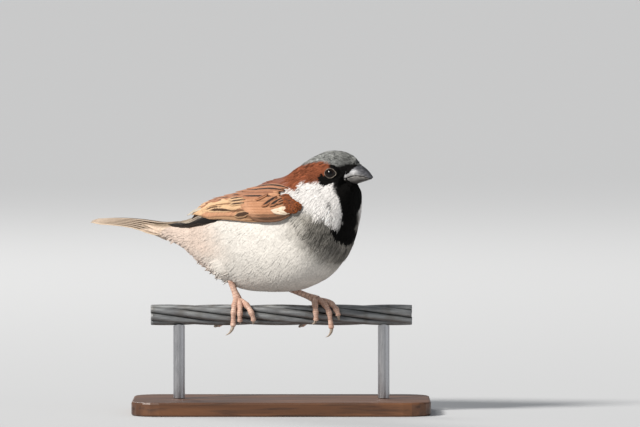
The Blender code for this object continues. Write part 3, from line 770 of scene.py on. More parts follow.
def bill_base_places(part, count, local):
    """Points, outward normals and directions of feathers on the base of one half of the bill."""
    t, angle = local.random(count) * 0.46, local.random(count) * math.tau
    p = bill_point(part, t, angle)
    ahead = unit(bill_point(part, t + 0.02, angle) - p)
    out = unit(np.cross(ahead, bill_point(part, t, angle + 0.05) - p))
    centre = (bill_point(part, t, angle * 0 + 0.01) + bill_point(part, t, angle * 0 + math.pi)) / 2
    out *= np.where(np.sum(out * (p - centre), -1, keepdims=True) < 0, -1, 1)
    wobble = local.normal(0, 0.12, count)
    if part == "lower":
        ahead *= np.where(t < 0.09, -1, 1)[:, None]
        keep = p[:, 0] < np.minimum(bill_line(p[:, 2]), 44.8) - 0.75 + wobble
    else:
        keep = p[:, 0] < bill_line(p[:, 2]) - 0.75 + wobble
        keep &= (np.abs(p[:, 1]) > 0.8) | (p[:, 2] > 64)
    return p[keep], out[keep], ahead[keep]


def coat_bill_base(material):
    """Short feathers that lie forward over the base of the bill, up to bill_line()."""
    local = np.random.default_rng(90)
    halves = [bill_base_places(part, 5000, local) for part in ("upper", "lower")]
    points, normals, directions = (np.concatenate(x) for x in zip(*halves))
    colours = paint(BLACK, GREY_CROWN * 0.6, smooth(65.0, 65.8, points[:, 2]))
    points -= normals * 0.1
    n = len(points)
    uv = skin_uv(np.full(n, 0.1), np.arctan2(points[:, 1], points[:, 2] - 61))
    sizes = random_sizes(n, local, (1.0, 1.4), (0.32, 0.42), (0.25, 0.45))
    bend, sag = local.normal(0, 0.1, n), np.zeros(n)
    tufts = Tufts(points, directions, normals, *sizes, colours, colours, uv, bend, sag)
    build_tufts("coat_bill_base", tufts, material)


def make_coat():
    fine = feather_material("feather_fine", 0.2, 1500.0)
    body = feather_material("feather_body", 0.16, 1100.0)

    def even(value):
        return lambda a: np.full(np.shape(a), value)

    def thin_on_top(a):
        return np.where(from_back(a) < 50, 1.5, 5.4)

    def by_station(*knots):
        return lambda s: line(s, knots)

    for name, side in SIDES.items():
        seed = 11 if side > 0 else 21
        half = sorted((0, side * math.pi))
        coat(f"coat_face_{name}", (0.05, 4.4), half, even(10.0),
             by_station((0, 1.0), (2, 1.3), (3, 1.6), (4, 2.1), (5, 2.6)),
             by_station((0, 0.26), (2, 0.32), (3, 0.36), (5, 0.44)), 0.30, seed, fine)
        coat(f"coat_neck_{name}", (4.4, 6.6), half, even(7.0), by_station((4, 2.4), (5.5, 3.2), (7, 4.2)),
             by_station((4, 0.42), (7, 0.55)), 0.24, seed + 1, fine)
        coat(f"coat_body_{name}", (6.6, 13.9), half, thin_on_top,
             by_station((6.5, 4.2), (8, 5.0), (11, 5.4), (14, 4.6)),
             by_station((6.5, 0.6), (9, 0.78), (14, 0.74)), 0.06, seed + 2, body,
             root_tone=0.95, contrast=0.03, jitter=0.09, relief=0.16)
        # ragged ends at the back of the thigh
        ends = sorted(side * math.radians(angle) for angle in (120, 152))
        coat(f"coat_thigh_{name}", (10.6, 12.6), ends, even(0.35), by_station((0, 5.2)), by_station((0, 0.7)),
             0.24, seed + 3, body, jitter=0.4, relief=None)
    coat_bill_base(fine)


# ------------------------------------------------------------------ vaned feathers
VANE_ROWS, VANE_COLUMNS = 12, 7
WING_BED_DEPTHS = (0.9, 1.7)  # of its outside and inside, under the wing's outline
QUILLS, SECONDARIES, GREATER_COVERTS = 7, 8, 10
MANTLE_REACH, RUMP_REACH = 44, 30  # degrees from the middle of the back
BUFF, PALE = srgb(186, 138, 106), srgb(198, 163, 126)


class Vanes(NamedTuple):
    """Vaned feathers, with one entry for each in every field."""

    paths: np.ndarray  # centre lines of VANE_ROWS points
    normals: np.ndarray
    width: np.ndarray
    blunt: np.ndarray  # how much of the length the rounded tip takes
    edge: np.ndarray  # colours
    centre: np.ndarray
    streak: np.ndarray  # how wide the centre's colour is, from 0 to 1


def vane_group(lines, width, blunt, edge, centre, streak, local, edge_vary=0.05, centre_vary=0.08):
    """Vanes on (paths, normals), from values for each feather or one for all."""
    n = len(lines[0])
    width, blunt, streak = (np.broadcast_to(x, n).astype(float) for x in (width, blunt, streak))
    edge = vary(np.broadcast_to(edge, (n, 3)), edge_vary, local)
    centre = vary(np.broadcast_to(centre, (n, 3)), centre_vary, local)
    return Vanes(*lines, width, blunt, edge, centre, streak)


def vane_outline(t, blunt):
    """Half the width of a feather along it, from 0 to 1."""
    base = np.minimum(1, 0.35 + 2.6 * t)
    tip = np.sqrt(np.clip(1 - np.clip((t - (1 - blunt)) / blunt, 0, 1) ** 2, 0, 1))
    return base * tip


def build_vanes(name, groups, slot, material, thickness=0.2, arch=0.08):
    """Groups of vanes as one mesh of closed slabs."""
    vanes = Vanes(*(np.concatenate(values) for values in zip(*groups)))
    n, count = len(vanes.paths), VANE_ROWS * VANE_COLUMNS
    t, u = np.linspace(0, 1, VANE_ROWS), np.linspace(-1, 1, VANE_COLUMNS)
    run = unit(np.gradient(vanes.paths, axis=1))
    side = unit(np.cross(vanes.normals, run))
    half = np.maximum(vanes.width[:, None] / 2 * vane_outline(t, vanes.blunt[:, None]), 0.05)[..., None]
    # the tip's outer barbs lag behind the shaft, which rounds the end
    lag = -(u**2) * smooth(0.7, 1.0, t)[:, None] * half * 0.9
    middle = vanes.paths[:, :, None]
    for direction, reach in ((side, u * half), (vanes.normals, -2 * arch * u**2 * half), (run, lag)):
        middle = middle + direction[:, :, None] * reach[..., None]
    rise = vanes.normals[:, :, None] * (thickness / 2 * (1 - 0.55 * u**2))[:, None]
    points = np.stack([middle + rise, middle - rise], 1).reshape(-1, 3)
    faces = (slab_faces(VANE_ROWS, VANE_COLUMNS) + (np.arange(n) * count * 2)[:, None, None]).reshape(-1, 4)
    across, along = (grid.ravel() for grid in np.meshgrid(u, t))
    vane = np.zeros((n, 2, count, 3))
    vane[..., 0], vane[..., 1], vane[..., 2] = across, along, rng.random(n)[:, None, None]
    # each feather has its own square in the baked picture
    squares = math.ceil(math.sqrt(n))
    corner = np.stack([np.arange(n) % squares, np.arange(n) // squares], -1)[:, None, None]
    inside = np.stack([across * 0.44 + 0.5, along * 0.9 + 0.05], -1)
    uvs = np.repeat((corner + inside) / squares, 2, axis=1).reshape(-1, 2)
    length = np.linalg.norm(np.diff(vanes.paths, axis=1), axis=-1).sum(1)
    single = {"edge": vanes.edge, "centre": vanes.centre, "streak": vanes.streak, "length": length}
    values = {"vane": vane.reshape(-1, 3)}
    values |= {key: np.repeat(value, 2 * count, axis=0) for key, value in single.items()}
    add_solid(name, to_world(points), faces, material, slot, values["edge"], uvs, values)


def between(start, end):
    """Even steps along each feather, from its root's value to its tip's."""
    start, end = (np.asarray(x, float)[:, None] for x in (start, end))
    return start + (end - start) * np.linspace(0, 1, VANE_ROWS)


def on_wing(start, end, height, side):
    """Centre lines over the wing, from (row, column) to (row, column), with heights at root and tip."""
    row, column = (between(*ends) for ends in zip(np.transpose(start), np.transpose(end)))
    point, normal = wing_point(row, column, side)
    return point + normal * between(*np.transpose(height))[..., None], normal


def on_body(s, a, length, height):
    """Centre lines over the back, from a place backwards along the body, with heights at root and tip."""
    s, a, length = (np.asarray(x, float)[:, None] for x in (s, a, length))
    step = body_point(np.minimum(s + 0.1, LAST), a) - body_point(s, a)
    stations = length / (np.linalg.norm(step, axis=-1) / 0.1)
    station = np.minimum(s + stations * np.linspace(0, 1, VANE_ROWS), LAST + 0.4)
    point, normal, _ = body_frame(station, a)
    return point + normal * between(*np.transpose(height))[..., None], normal


def rank(count, *ends):
    """Values for feathers in even steps, from those of the first and the last."""
    return (np.linspace(first, last, count) for first, last in ends)


def make_wing_bed(name, side):
    """The sheet under a wing's feathers."""
    rows, columns = 60, 14
    r, across = np.meshgrid(np.linspace(0.25, 7.7, rows), np.linspace(0, 1, columns), indexing="ij")
    low = wing_edge(r)
    c = low + (wing_top(r) - 0.06 - low) * across
    point, normal = wing_point(r, c, side)
    points = np.concatenate([(point - normal * depth).reshape(-1, 3) for depth in WING_BED_DEPTHS])
    tone = srgb(112, 74, 50) * (0.8 + 0.4 * value_noise(points, 2.0, 3))[:, None]
    tone = tone * (1 - 0.8 * smooth(-24, -32, points[:, :1]))
    uv = np.tile(np.stack([r / LAST_ROW, c], -1).reshape(-1, 2), (2, 1))
    bed = add_solid(f"wing_bed_{name}", to_world(points), slab_faces(rows, columns),
                    feather_material(f"wing_bed_{name}", 0.3), "wing_feathers", tone, uv)
    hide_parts(f"wing_{name}")


def flight_feathers(add):
    """The primaries, secondaries and tertials."""
    # primaries: the long dark quills of the wing's point, innermost first
    add(*rank(QUILLS, ((4.5, 0.04), (4.8, 0.12)), ((6.3, 0.02), (7.98, 0.12)), ((-2.2, 0.75), (-2.2, 0.45))),
        3.2, 0.28, srgb(44, 36, 31), srgb(17, 14, 13), 0.86)
    # a pale feather's edge above them, and the thin tip of another under the tertials
    add([(4.8, 0.30), (5.2, 0.62)], [(7.2, 0.26), (6.8, 0.98)], [(-1.4, 1.0), (-0.4, 1.5)],
        [1.5, 1.8], 0.4, [srgb(150, 138, 124), srgb(186, 176, 160)],
        [srgb(104, 92, 82), srgb(168, 156, 140)], 0.4)
    # secondaries: edges stacked along the wing's lower side
    add(*rank(SECONDARIES, ((1.9, 0.12), (2.8, 0.28)), ((5.7, 0.17), (6.2, 0.59)),
              ((-1.1, -0.35), (-1.1, -0.25))),
        4.2, 0.22, srgb(170, 132, 100), srgb(126, 92, 66), 0.3)
    # tertials: three broad feathers with wide pale edges
    add([(2.4, 0.30), (2.5, 0.52), (2.6, 0.76)], [(5.75, 0.27), (6.1, 0.50), (6.45, 0.80)],
        [(-0.7, 0.0), (-0.55, 0.1), (-0.4, 0.2)],
        [5.2, 6.2, 6.6], 0.26, [BUFF, PALE, PALE],
        [srgb(104, 74, 52), srgb(140, 102, 72), srgb(168, 128, 94)], [0.3, 0.16, 0.1])


def broad_coverts(add):
    """The greater coverts and the median coverts above them."""
    # greater coverts: an orange-buff panel, darker along the wing's lower edge
    shade = 0.36 + 0.64 * smooth(0.0, 0.22, np.linspace(0, 1, GREATER_COVERTS))[:, None]
    width, streak = rank(GREATER_COVERTS, (3.2, 4.2), (0.4, 0.26))
    add(*rank(GREATER_COVERTS, ((1.2, 0.17), (1.7, 0.91)), ((2.9, 0.12), (3.65, 0.74)),
              ((-0.75, -0.35), (-0.75, -0.15))),
        width, 0.26, BUFF * shade, srgb(168, 120, 88) * shade**1.6, streak)
    # median coverts: dark streaks with brown edges, lying aslant
    add([(1.26, 0.74), (1.42, 0.74), (1.72, 0.76), (2.1, 0.82)],
        [(1.74, 0.52), (2.04, 0.45), (2.34, 0.43), (2.56, 0.60)], [(-0.2, 0.34)] * 4,
        [1.7, 2.5, 2.6, 1.8], 0.3, srgb(158, 106, 74),
        [srgb(62, 40, 28), srgb(40, 27, 18), srgb(42, 28, 19), srgb(96, 64, 44)], [0.36, 0.48, 0.48, 0.3])


def wing_marks(add):
    """The dark streaks, the dark tip and the white bar."""
    # three short dark streaks over the tertials' bases, and two on the tertials
    add([(2.95, 0.74), (3.0, 0.63), (3.05, 0.52), (3.8, 0.28), (4.15, 0.40)],
        [(3.95, 0.66), (3.9, 0.55), (3.82, 0.45), (5.3, 0.33), (5.6, 0.44)],
        [(-0.1, 0.3)] * 3 + [(-0.3, 0.12)] * 2,
        [1.9, 1.7, 1.7, 2.3, 2.1], 0.3, PALE,
        [srgb(70, 48, 34)] * 3 + [srgb(74, 52, 36), srgb(92, 66, 46)], [0.5, 0.5, 0.5, 0.5, 0.4])
    # a rounded dark tip with a pale rim, low on the wing
    add([(2.9, 0.24)], [(3.66, 0.13)], [(-0.35, 0.2)], 2.9, 0.6, srgb(176, 140, 108), srgb(66, 46, 32), 0.62)
    # the low median coverts end in a white bar
    add([(0.76, 0.36), (0.86, 0.32), (1.0, 0.28), (1.16, 0.25)],
        [(1.34, 0.42), (1.52, 0.40), (1.74, 0.38), (1.98, 0.35)],
        [(-0.8, 0.12), (-0.8, 0.16), (-0.8, 0.2), (-0.8, 0.24)],
        [3.2, 3.2, 3.0, 2.6], 0.3, srgb(222, 202, 178), srgb(180, 142, 112), 0.12)


def lesser_coverts(add, local):
    """Small chestnut scales over the bend of the wing."""
    scales = []
    for i in range(12):
        for j in range(11):
            row = 0.02 + 0.115 * i + local.uniform(-0.05, 0.05)
            column = (j + 0.5 * (i % 2)) / 10 + local.uniform(-0.04, 0.04)
            low, high = wing_edge(row) - 0.08, wing_top(row) - 0.1 + 0.08 * (row > 0.9)
            if row > 0.86 + 0.45 * column or not low <= column <= high:
                continue
            end = (row + 0.44 + local.uniform(-0.05, 0.05), column * 0.92 + 0.03)
            scales.append(((row, column), end, (-0.3, 0.22 + 0.015 * (12 - i))))
    starts, ends, heights = zip(*scales)
    tone = (0.7 + 0.6 * local.random(len(starts)))[:, None]
    add(starts, ends, heights, 2.6, 0.46, srgb(124, 66, 32) * tone, srgb(84, 46, 25) * tone, 0.34)


def make_wing(name, material):
    """A wing's feathers on its bed. add() takes values for each feather of a group or one for all."""
    side = SIDES[name]
    local = np.random.default_rng(40 + side)
    make_wing_bed(name, side)
    groups = []

    def add(start, end, height, width, blunt, edge, centre, streak):
        lines = on_wing(start, end, height, side)
        groups.append(vane_group(lines, width, blunt, edge, centre, streak, local))

    flight_feathers(add)
    broad_coverts(add)
    wing_marks(add)
    lesser_coverts(add, local)
    build_vanes(f"wing_feathers_{name}", groups, "wing_feathers", material)


def make_scapulars(name, local, material):
    """The feathers that lie over a wing's upper edge."""
    feathers = []
    for i in range(5):
        for j in range(4):
            row = 1.25 + 0.66 * i + 0.2 * j + local.uniform(-0.12, 0.12)
            column = 1.16 - 0.13 * j - 0.012 * i
            black = (i + 2 * j) % 3 != 1 and i < 4
            feathers.append(((row, column), (row + 1.75, column - 0.08 + 0.02 * j), (-0.8, 0.55 - 0.1 * j),
                             srgb(158, 110, 82) if i < 4 else srgb(190, 152, 118),
                             srgb(42, 28, 20) if black else srgb(142, 94, 68), 0.34 if black else 0.24))
    starts, ends, heights, edge, centre, streak = zip(*feathers)
    lines = on_wing(starts, ends, heights, SIDES[name])
    group = vane_group(lines, 2.7, 0.4, edge, centre, streak, local, 0.06, 0.1)
    build_vanes(f"scapulars_{name}", [group], "wing_feathers", material)


def make_back(material):
    """The mantle, the rump and the scapulars."""
    local = np.random.default_rng(60)
    feathers = []
    for i in range(15):
        station = 6.35 + 0.42 * i
        reach = MANTLE_REACH if station < 10.5 else RUMP_REACH
        far = station > 10.2
        for j in range(-5, 6):
            deg = (j + 0.5 * (i % 2)) * reach / 5 + local.uniform(-2, 2)
            if abs(deg) > reach + 2:
                continue
            place = (station + local.uniform(-0.1, 0.1) * (2 if far else 1), math.radians(deg))
            streaky = local.random() < 0.5 and 6.8 < station < 10.0
            if far:
                feathers.append((*place, 8.0, (-1.1, -0.25), 3.6, RUMP * 1.1, RUMP * 0.9, 0.26))
            else:
                edge = MANTLE if station > 7.4 else CHESTNUT
                centre, streak = (DARK, 0.3) if streaky else (edge * 0.8, 0.26)
                feathers.append((*place, 9.5, (-1.0, 0.1), 3.8, edge, centre, streak))
    s, a, length, height, width, edge, centre, streak = zip(*feathers)
    lines = on_body(s, a, length, height)
    group = vane_group(lines, width, 0.42, edge, centre, streak, local, 0.1, 0.12)
    build_vanes("back_feathers", [group], "body_feathers", material)
    for name in SIDES:
        make_scapulars(name, local, material)


# ------------------------------------------------------------------ tail
TAIL_PAIRS, TAIL_VANE_WIDTH = 6, 4.9


def tail_values(t):
    """The tail's row of values, t from its root to its tip."""
    return np.moveaxis(spline(TAIL, np.asarray(t) * (len(TAIL) - 1)), -1, 0)


def underside(up):
    """1 below the tail and 0 on top, by how far up a place is on its section."""
    return smooth(0.8, 0.3, up)


def make_tail_feathers(local, material):
    """Twelve feathers, six a side, the middle pair on top."""
    t = np.linspace(0.0, 1.0, VANE_ROWS)
    back, half, top, thick, droop = tail_values(0.02 + 0.98 * t)
    root, outermost, feathers = TAIL[0, 0], TAIL_PAIRS - 1, []
    for side in SIDES.values():
        for k in range(TAIL_PAIRS):
            left = side * (half - 1.0 * smooth(0, 0.5, t)) * (k + 0.35) / TAIL_PAIRS * (0.45 + 0.55 * t)
            lower = (thick - 0.3) * k / outermost * (0.5 + 0.5 * smooth(0, 0.4, t))
            high = top - 0.3 - lower - droop * (np.abs(left) / np.maximum(half, 1)) ** 2
            shorter = 1 - 0.007 * abs(k - outermost / 2)
            forward = -(root + (back - root) * shorter) - 2.8 * t**3
            normal = np.tile(unit(np.array((0, side * 0.16 * (k + 0.5) / TAIL_PAIRS, 1.0))), (VANE_ROWS, 1))
            # the outermost pair's edge is paler than the rest: painted light, for the lit lower edge of the
            # tail
            edge = srgb(174, 156, 138) if k < outermost else srgb(196, 176, 154)
            centre = srgb(132, 115, 100) if k else srgb(112, 95, 80)
            feathers.append((np.stack([forward, left, high], -1), normal, edge, centre))
    *lines, edge, centre = (np.array(x) for x in zip(*feathers))
    group = vane_group(lines, TAIL_VANE_WIDTH, 0.10, edge, centre, 0.55, local, 0.04, 0.06)
    build_vanes("tail_feathers", [group], "tail_feathers", material, thickness=0.3, arch=0.05)


def make_tail_bed():
    """The solid root of the tail, thinning out under the feathers."""
    t, angle = ring_grid(0.0, 0.46, 46, 40)
    back, half, top, thick, droop = tail_values(t)
    up, out = np.cos(angle), np.sin(angle)
    fade = 1 - smooth(0.2, 0.46, t) * 0.8
    high = top - thick / 2 - droop * out**2 + (thick / 2 - 0.5 - 0.9 * (up < 0)) * up * fade
    high = high + (thick / 2 - 0.5) * (1 - fade) * 0.8
    points, faces = tube(np.stack([-back, (half - 0.6) * out * (0.55 + 0.45 * fade), high], -1))
    colours = paint(RUMP, srgb(206, 184, 164), underside(up))
    uv = np.stack([t, angle / math.tau], -1).reshape(-1, 2)
    bed = add_solid("tail_bed", to_world(points), faces, feather_material("tail_bed", 0.25), "tail_feathers",
                    with_ends(colours), np.vstack([uv, uv[0], uv[-1]]))
    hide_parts("tail")


def coat_tail_bed(local):
    """Tufts over the tail's root, above and below."""
    n = 7000
    angle = math.tau * local.random(n)
    up, out = np.cos(angle), np.sin(angle)
    t = (0.2 + 0.14 * smooth(0.5, 0.0, up)) * local.random(n)
    back, half, top, thick, droop = tail_values(t)
    high = top - thick / 2 - droop * out**2 + (thick / 2 - 0.6) * up
    normal = unit(np.stack([0 * up, out / 6, up / 4], -1))
    depth = 1.2 * smooth(-0.2, 0.3, up) + 0.9 * smooth(0.2, -0.3, up)
    root = np.stack([-back, (half - 0.7) * out, high], -1) - normal * depth[:, None]
    along = np.array((-1.0, 0, 0)) - normal * (0.1 * smooth(0.1, -0.3, up))[:, None]
    colour = vary(paint(RUMP, srgb(210, 189, 170), underside(up)), 0.08, local)
    uv = np.stack([0.02 + 0.96 * t, angle / math.tau], -1)
    sizes = random_sizes(n, local, (5.0, 7.0), (0.6, 0.8), (0.02, 0.05))
    tufts = Tufts(root, along, normal, *sizes, colour * 0.95, colour, uv, np.zeros(n), np.zeros(n))
    build_tufts("coat_tail_coverts", tufts, feather_material("feather_coverts"), "tail_feathers", relief=0.16)


def make_tail(material):
    local = np.random.default_rng(80)
    make_tail_feathers(local, material)
    make_tail_bed()
    coat_tail_bed(local)


# ------------------------------------------------------------------ eyes
LID_RING, LID_BEAD, LID_BEADS = 2.14, 0.135, 26
LID_SEAT = 2.05  # the circle round the eye's axis on which the lid lies
COLLAR_INNER, COLLAR_WIDTH = 2.22, 0.95
COLLAR_HEIGHT, COLLAR_DROP, COLLAR_THICKNESS = 2.12, 0.75, 0.3


class EyePlace(NamedTuple):
    """Where an eye is: its centre, the axis it looks along, and the directions forward and up across that."""

    name: str
    centre: np.ndarray
    axis: np.ndarray
    forward: np.ndarray
    up: np.ndarray

    def out(self, phi):
        """The direction away from the axis at an angle round it, 0 forward and growing upwards."""
        phi = np.asarray(phi)[..., None]
        return self.forward * np.cos(phi) + self.up * np.sin(phi)


def make_eyeball(eye):
    """The ball, with a slightly fuller cornea and a dark brown iris."""
    theta, phi = ring_grid(0, math.pi, 48, 64)
    radius = (EYE_RADIUS - 0.02 + 0.10 * smooth(0.62, 0.0, theta))[..., None]
    theta = theta[..., None]
    point = eye.centre + radius * (np.cos(theta) * eye.axis + np.sin(theta) * eye.out(phi))
    colour = paint(srgb(3, 3, 3), srgb(24, 15, 9), smooth(0.34, 0.40, theta[..., 0]))
    colour = paint(colour, srgb(14, 10, 9), smooth(0.66, 0.74, theta[..., 0]))
    material = painted_material(f"eye_{eye.name}", 0.06, 0.24, grain=3000.0, detail=2.0, dark=0.8, light=1.2)
    faces = grid_faces(*point.shape[:2])
    ball = add_solid(f"eye_ball_{eye.name}", to_world(point.reshape(-1, 3)), faces, material, "eye",
                     colour.reshape(-1, 3), weld=True)
    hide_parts(f"eye_{eye.name}")


def make_lid(eye):
    """A ring of bare skin, a little pointed at its corners and beaded along it."""
    rows, columns = 96, 14
    phi = np.linspace(0, math.tau, rows, endpoint=False)[:, None]
    psi = np.linspace(0, math.tau, columns, endpoint=False)
    c, n = np.cos(phi), np.sin(phi)
    ring = LID_RING + 0.26 * np.abs(c) ** 6 - 0.10 * np.abs(n) ** 2 + 0.2 * smooth(0.9, 1, c)
    height = math.sqrt(EYE_RADIUS**2 - LID_SEAT**2) - 0.18 * np.abs(c) ** 6
    thick = (LID_BEAD + 0.02 * n) * (1 + 0.06 * np.sin(phi * LID_BEADS))
    reach = (ring + thick * 1.15 * np.cos(psi))[..., None]
    rise = (height + thick * 0.9 * np.sin(psi))[..., None]
    point = eye.centre + eye.out(phi) * reach + eye.axis * rise
    faces = grid_faces(rows + 1, columns) % (rows * columns)
    material = skin_material(f"eye_lid_{eye.name}", srgb(126, 116, 102), srgb(70, 62, 54), 1600.0)
    add_solid(f"eye_lid_{eye.name}", to_world(point.reshape(-1, 3)), faces, material, "body_feathers")


def collar_point(eye, phi, reach):
    """A point on the collar of skin round an eye, from the lid at reach 0 down into the coat at 1."""
    high = (COLLAR_HEIGHT - COLLAR_DROP * reach**1.4)[..., None]
    return eye.centre + eye.axis * high + eye.out(phi) * (COLLAR_INNER + COLLAR_WIDTH * reach)[..., None]


def collar_colour(phi):
    """Chestnut behind the eye, black in front of it and below."""
    return paint(BLACK, CHESTNUT * 0.9, smooth(1.5, 2.0, phi) * smooth(3.75, 3.4, phi))


def make_collar(eye):
    """Bare skin between the lid and the coat."""
    rows, columns = 7, 64
    count = rows * columns
    reach, phi = ring_grid(0, 1, rows, columns)
    top = collar_point(eye, phi, reach)
    under = top - eye.axis * COLLAR_THICKNESS
    points = np.concatenate([top.reshape(-1, 3), under.reshape(-1, 3)])
    quads = grid_faces(rows, columns)
    inner = np.arange(columns)
    inner, outer = (np.stack([r, np.roll(r, -1), np.roll(r, -1) + count, r + count], -1)
                    for r in (inner, inner + count - columns))
    faces = np.concatenate([quads, quads[:, ::-1] + count, inner[:, ::-1], outer])
    tone = np.tile(collar_colour(phi).reshape(-1, 3), (2, 1))
    add_solid(f"eye_collar_{eye.name}", to_world(points), faces,
              feather_material(f"eye_collar_{eye.name}", 0.2, 2000.0), "body_feathers", tone)


def coat_collar(eye):
    """Short feathers on the collar that lie away from the eye."""
    side = SIDES[eye.name]
    local = np.random.default_rng(70 + side)
    n = 900
    phi, reach = local.random(n) * math.tau, local.random(n) ** 0.8
    out = eye.out(phi)
    normal = unit(eye.axis + out * 0.5)
    root = collar_point(eye, phi, reach) - normal * 0.1
    tone = collar_colour(phi)
    uv = skin_uv(np.full(n, 3.76), np.full(n, side * 1.24))
    sizes = random_sizes(n, local, (0.8, 1.1), (0.24, 0.3), (0.2, 0.3))
    along, bend, sag = unit(out + np.array((-0.6, 0, 0))), local.normal(0, 0.1, n), np.zeros(n)
    tufts = Tufts(root, along, normal, *sizes, tone, tone, uv, bend, sag)
    build_tufts(f"coat_eye_{eye.name}", tufts, feather_material(f"feather_eye_{eye.name}", 0.2, 1500.0))


def make_eye(name):
    side = SIDES[name]
    axis = unit(np.array((0.36, side * 0.92, 0.1)))
    forward = unit(np.array((1.0, 0, 0)) - axis * axis[0])
    up = np.cross(axis, forward)
    eye = EyePlace(name, EYE * np.array((1, side, 1)), axis, forward, up * np.sign(up[2]))
    make_eyeball(eye)
    make_lid(eye)
    make_collar(eye)
    coat_collar(eye)


# ------------------------------------------------------------------ bill
def bill_point(part, t, angle):
    """A point on one half of the bill, t from its base to its tip and the angle round it."""
    is_upper = part == "upper"
    flat, crest = (TOMIUM, CULMEN) if is_upper else (LOWER_TOMIUM, GONYS)
    flat, crest = (np.moveaxis(spline(curve, np.clip(t, 0, 1) * 3), -1, 0) for curve in (flat, crest))
    width = BILL_HALF_WIDTH * np.maximum(1 - t, 0) ** 0.62 * (1 - 0.12 * t)
    width = width + 0.4 * (1 - smooth(0.9, 1, t) * 0.7)
    width = width * (1 - 0.08 * smooth(0.5, 0.0, t)) * (1 if is_upper else 0.95)
    up, out = rounded(angle, 1.75 if is_upper else 2.0)
    forward = flat[0] + (crest[0] - flat[0]) * np.maximum(up, 0)
    rise = np.abs(crest[1] - flat[1]) * np.where(up > 0, up, up * 0.02)
    overhang = 1 + 0.03 * smooth(0.25, 0.0, up) * is_upper
    return np.stack([forward, width * out * overhang, flat[1] + rise * (1 if is_upper else -1)], -1)


def make_bill():
    """Both halves, darker at the ridge and the tip, with a pale edge that is partly the horn's own and partly
    a painted highlight.
    """
    t, angle = ring_grid(0, 1, 60, 56)
    up = np.cos(angle)
    for part, horn, edge in (("upper", srgb(84, 84, 88), 0.5), ("lower", srgb(96, 93, 90), 0.3)):
        point = bill_point(part, t, angle)
        dark = (1 - 0.5 * smooth(0.5, 1.0, up)) * (1 - 0.4 * smooth(0.45, 1.0, t))
        # a pale line along the cutting edge: partly lighter horn, partly a painted highlight
        rim = smooth(0.3, 0.05, np.abs(up)) * smooth(1.0, 0.7, t)
        tone = paint(horn * dark[..., None], srgb(138, 134, 128), rim * edge)
        mottle = 0.6 * value_noise(point * np.array((0.7, 1.2, 1.2)), 0.7, 4)
        mottle = mottle + 0.4 * value_noise(point, 0.3, 6)
        tone = tone * (0.5 + 0.95 * smooth(0.2, 0.8, mottle))[..., None]
        material = painted_material(f"bill_{part}", 0.36, 0.5, grain=2600.0, detail=4.0, dark=0.86,
                                    light=1.12, rough=(0.3, 0.46), bump=0.22)
        points, faces = tube(point)
        bill = add_solid(f"bill_{part}_horn", to_world(points), faces, material, "bill", with_ends(tone))
        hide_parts(f"bill_{part}")


# ------------------------------------------------------------------ legs
SHANK_RADIUS, SHANK_SCUTES = 1.3, 11
PAD_RADIUS, PAD_HALF_WIDTH, PAD_DROP = 1.6, 2.3, 0.35
TOE_RADIUS, TOE_GAP = 1.12, 0.3  # the gap is between the toe's skin and the wire
TOE_JOINTS, TOE_SCUTES, HIND_JOINTS, HIND_SCUTES = 3, 13, 2, 8
CLAW_RADIUS, CLAW_CURL, CLAW_ROOT = 0.84, math.radians(75), 0.9  # its root lies that deep in the toe


def sweep(path, radii, columns):
    """Rings of a round tube along a path, (rows, columns, 3)."""
    run = unit(np.gradient(path, axis=0))
    side = unit(np.cross(run[0], (0.3, 0.2, 1.0) if abs(run[0][2]) < 0.9 else (1.0, 0.2, 0)))
    turns = np.linspace(0, math.tau, columns, endpoint=False)[:, None]
    rings = []
    for centre, radius, direction in zip(path, radii, run):
        side = unit(side - direction * (side @ direction))
        rings.append(centre + radius * (np.cos(turns) * side + np.sin(turns) * np.cross(direction, side)))
    return np.array(rings)


def round_wire(x, angle, radius):
    """Points at an angle in degrees round the wire's axis, 0 on top and growing towards the camera."""
    a = np.radians(angle)
    return np.stack([x + 0 * a, -radius * np.sin(a), WIRE_HEIGHT + radius * np.cos(a)], -1)


def toe_line(foot_x, toe, ankle):
    """Points along a toe round the wire, its direction at the end, and the direction in towards the wire."""
    start_x, end_x, wrap, straight, _, _ = toe
    t = np.linspace(0, 1, 9)
    if wrap > 0:
        begin, progress = 8.0, 1 - (1 - t) ** 1.6
    else:
        begin, progress, start_x = -8.0, t**2.2, 0.0
    x = foot_x + start_x + (end_x - start_x) * progress
    points = round_wire(x, begin + (wrap - begin) * t, WIRE_DIAMETER / 2 + TOE_GAP + TOE_RADIUS)
    along = unit(points[-1] - points[-2])
    if straight:
        points = np.vstack([points, points[-1] + along * straight * 0.5, points[-1] + along * straight])
    inward = np.array((points[-1][0], 0, WIRE_HEIGHT)) - points[-1]
    inward = unit(inward - along * (inward @ along))
    return np.vstack([ankle - np.array((0, 0, 0.2)), points[1:]]), along, inward


def leg_part(path, radii, columns, scutes, at_end):
    """A swept part of a leg: points, faces, and how many scutes down each point is."""
    points, faces = tube(sweep(path, radii, columns))
    return points, faces, np.append(np.repeat(scutes, columns), (scutes[0], at_end))


def shank(heel, ankle):
    """The bare leg, ringed by scutes."""
    t = np.linspace(0, 1, 120)
    scutes = t * SHANK_SCUTES
    swell = 0.55 * smooth(0.7, 1.0, t) + 0.15 * smooth(0.25, 0.0, t)
    radii = SHANK_RADIUS + swell + 0.07 * (1 - scutes % 1) ** 2
    return leg_part(heel + (ankle - heel) * t[:, None], radii, 28, scutes, SHANK_SCUTES)


def foot_pad(ankle):
    """The ball of the foot, where the toes meet."""
    t = np.linspace(-1, 1, 30)
    path = ankle + np.array((PAD_HALF_WIDTH, 0, 0)) * t[:, None] - np.array((0, 0, PAD_DROP))
    return leg_part(path, PAD_RADIUS * np.sqrt(np.maximum(1 - t**2, 0.002)), 24, np.full(len(t), 0.5), 0.5)


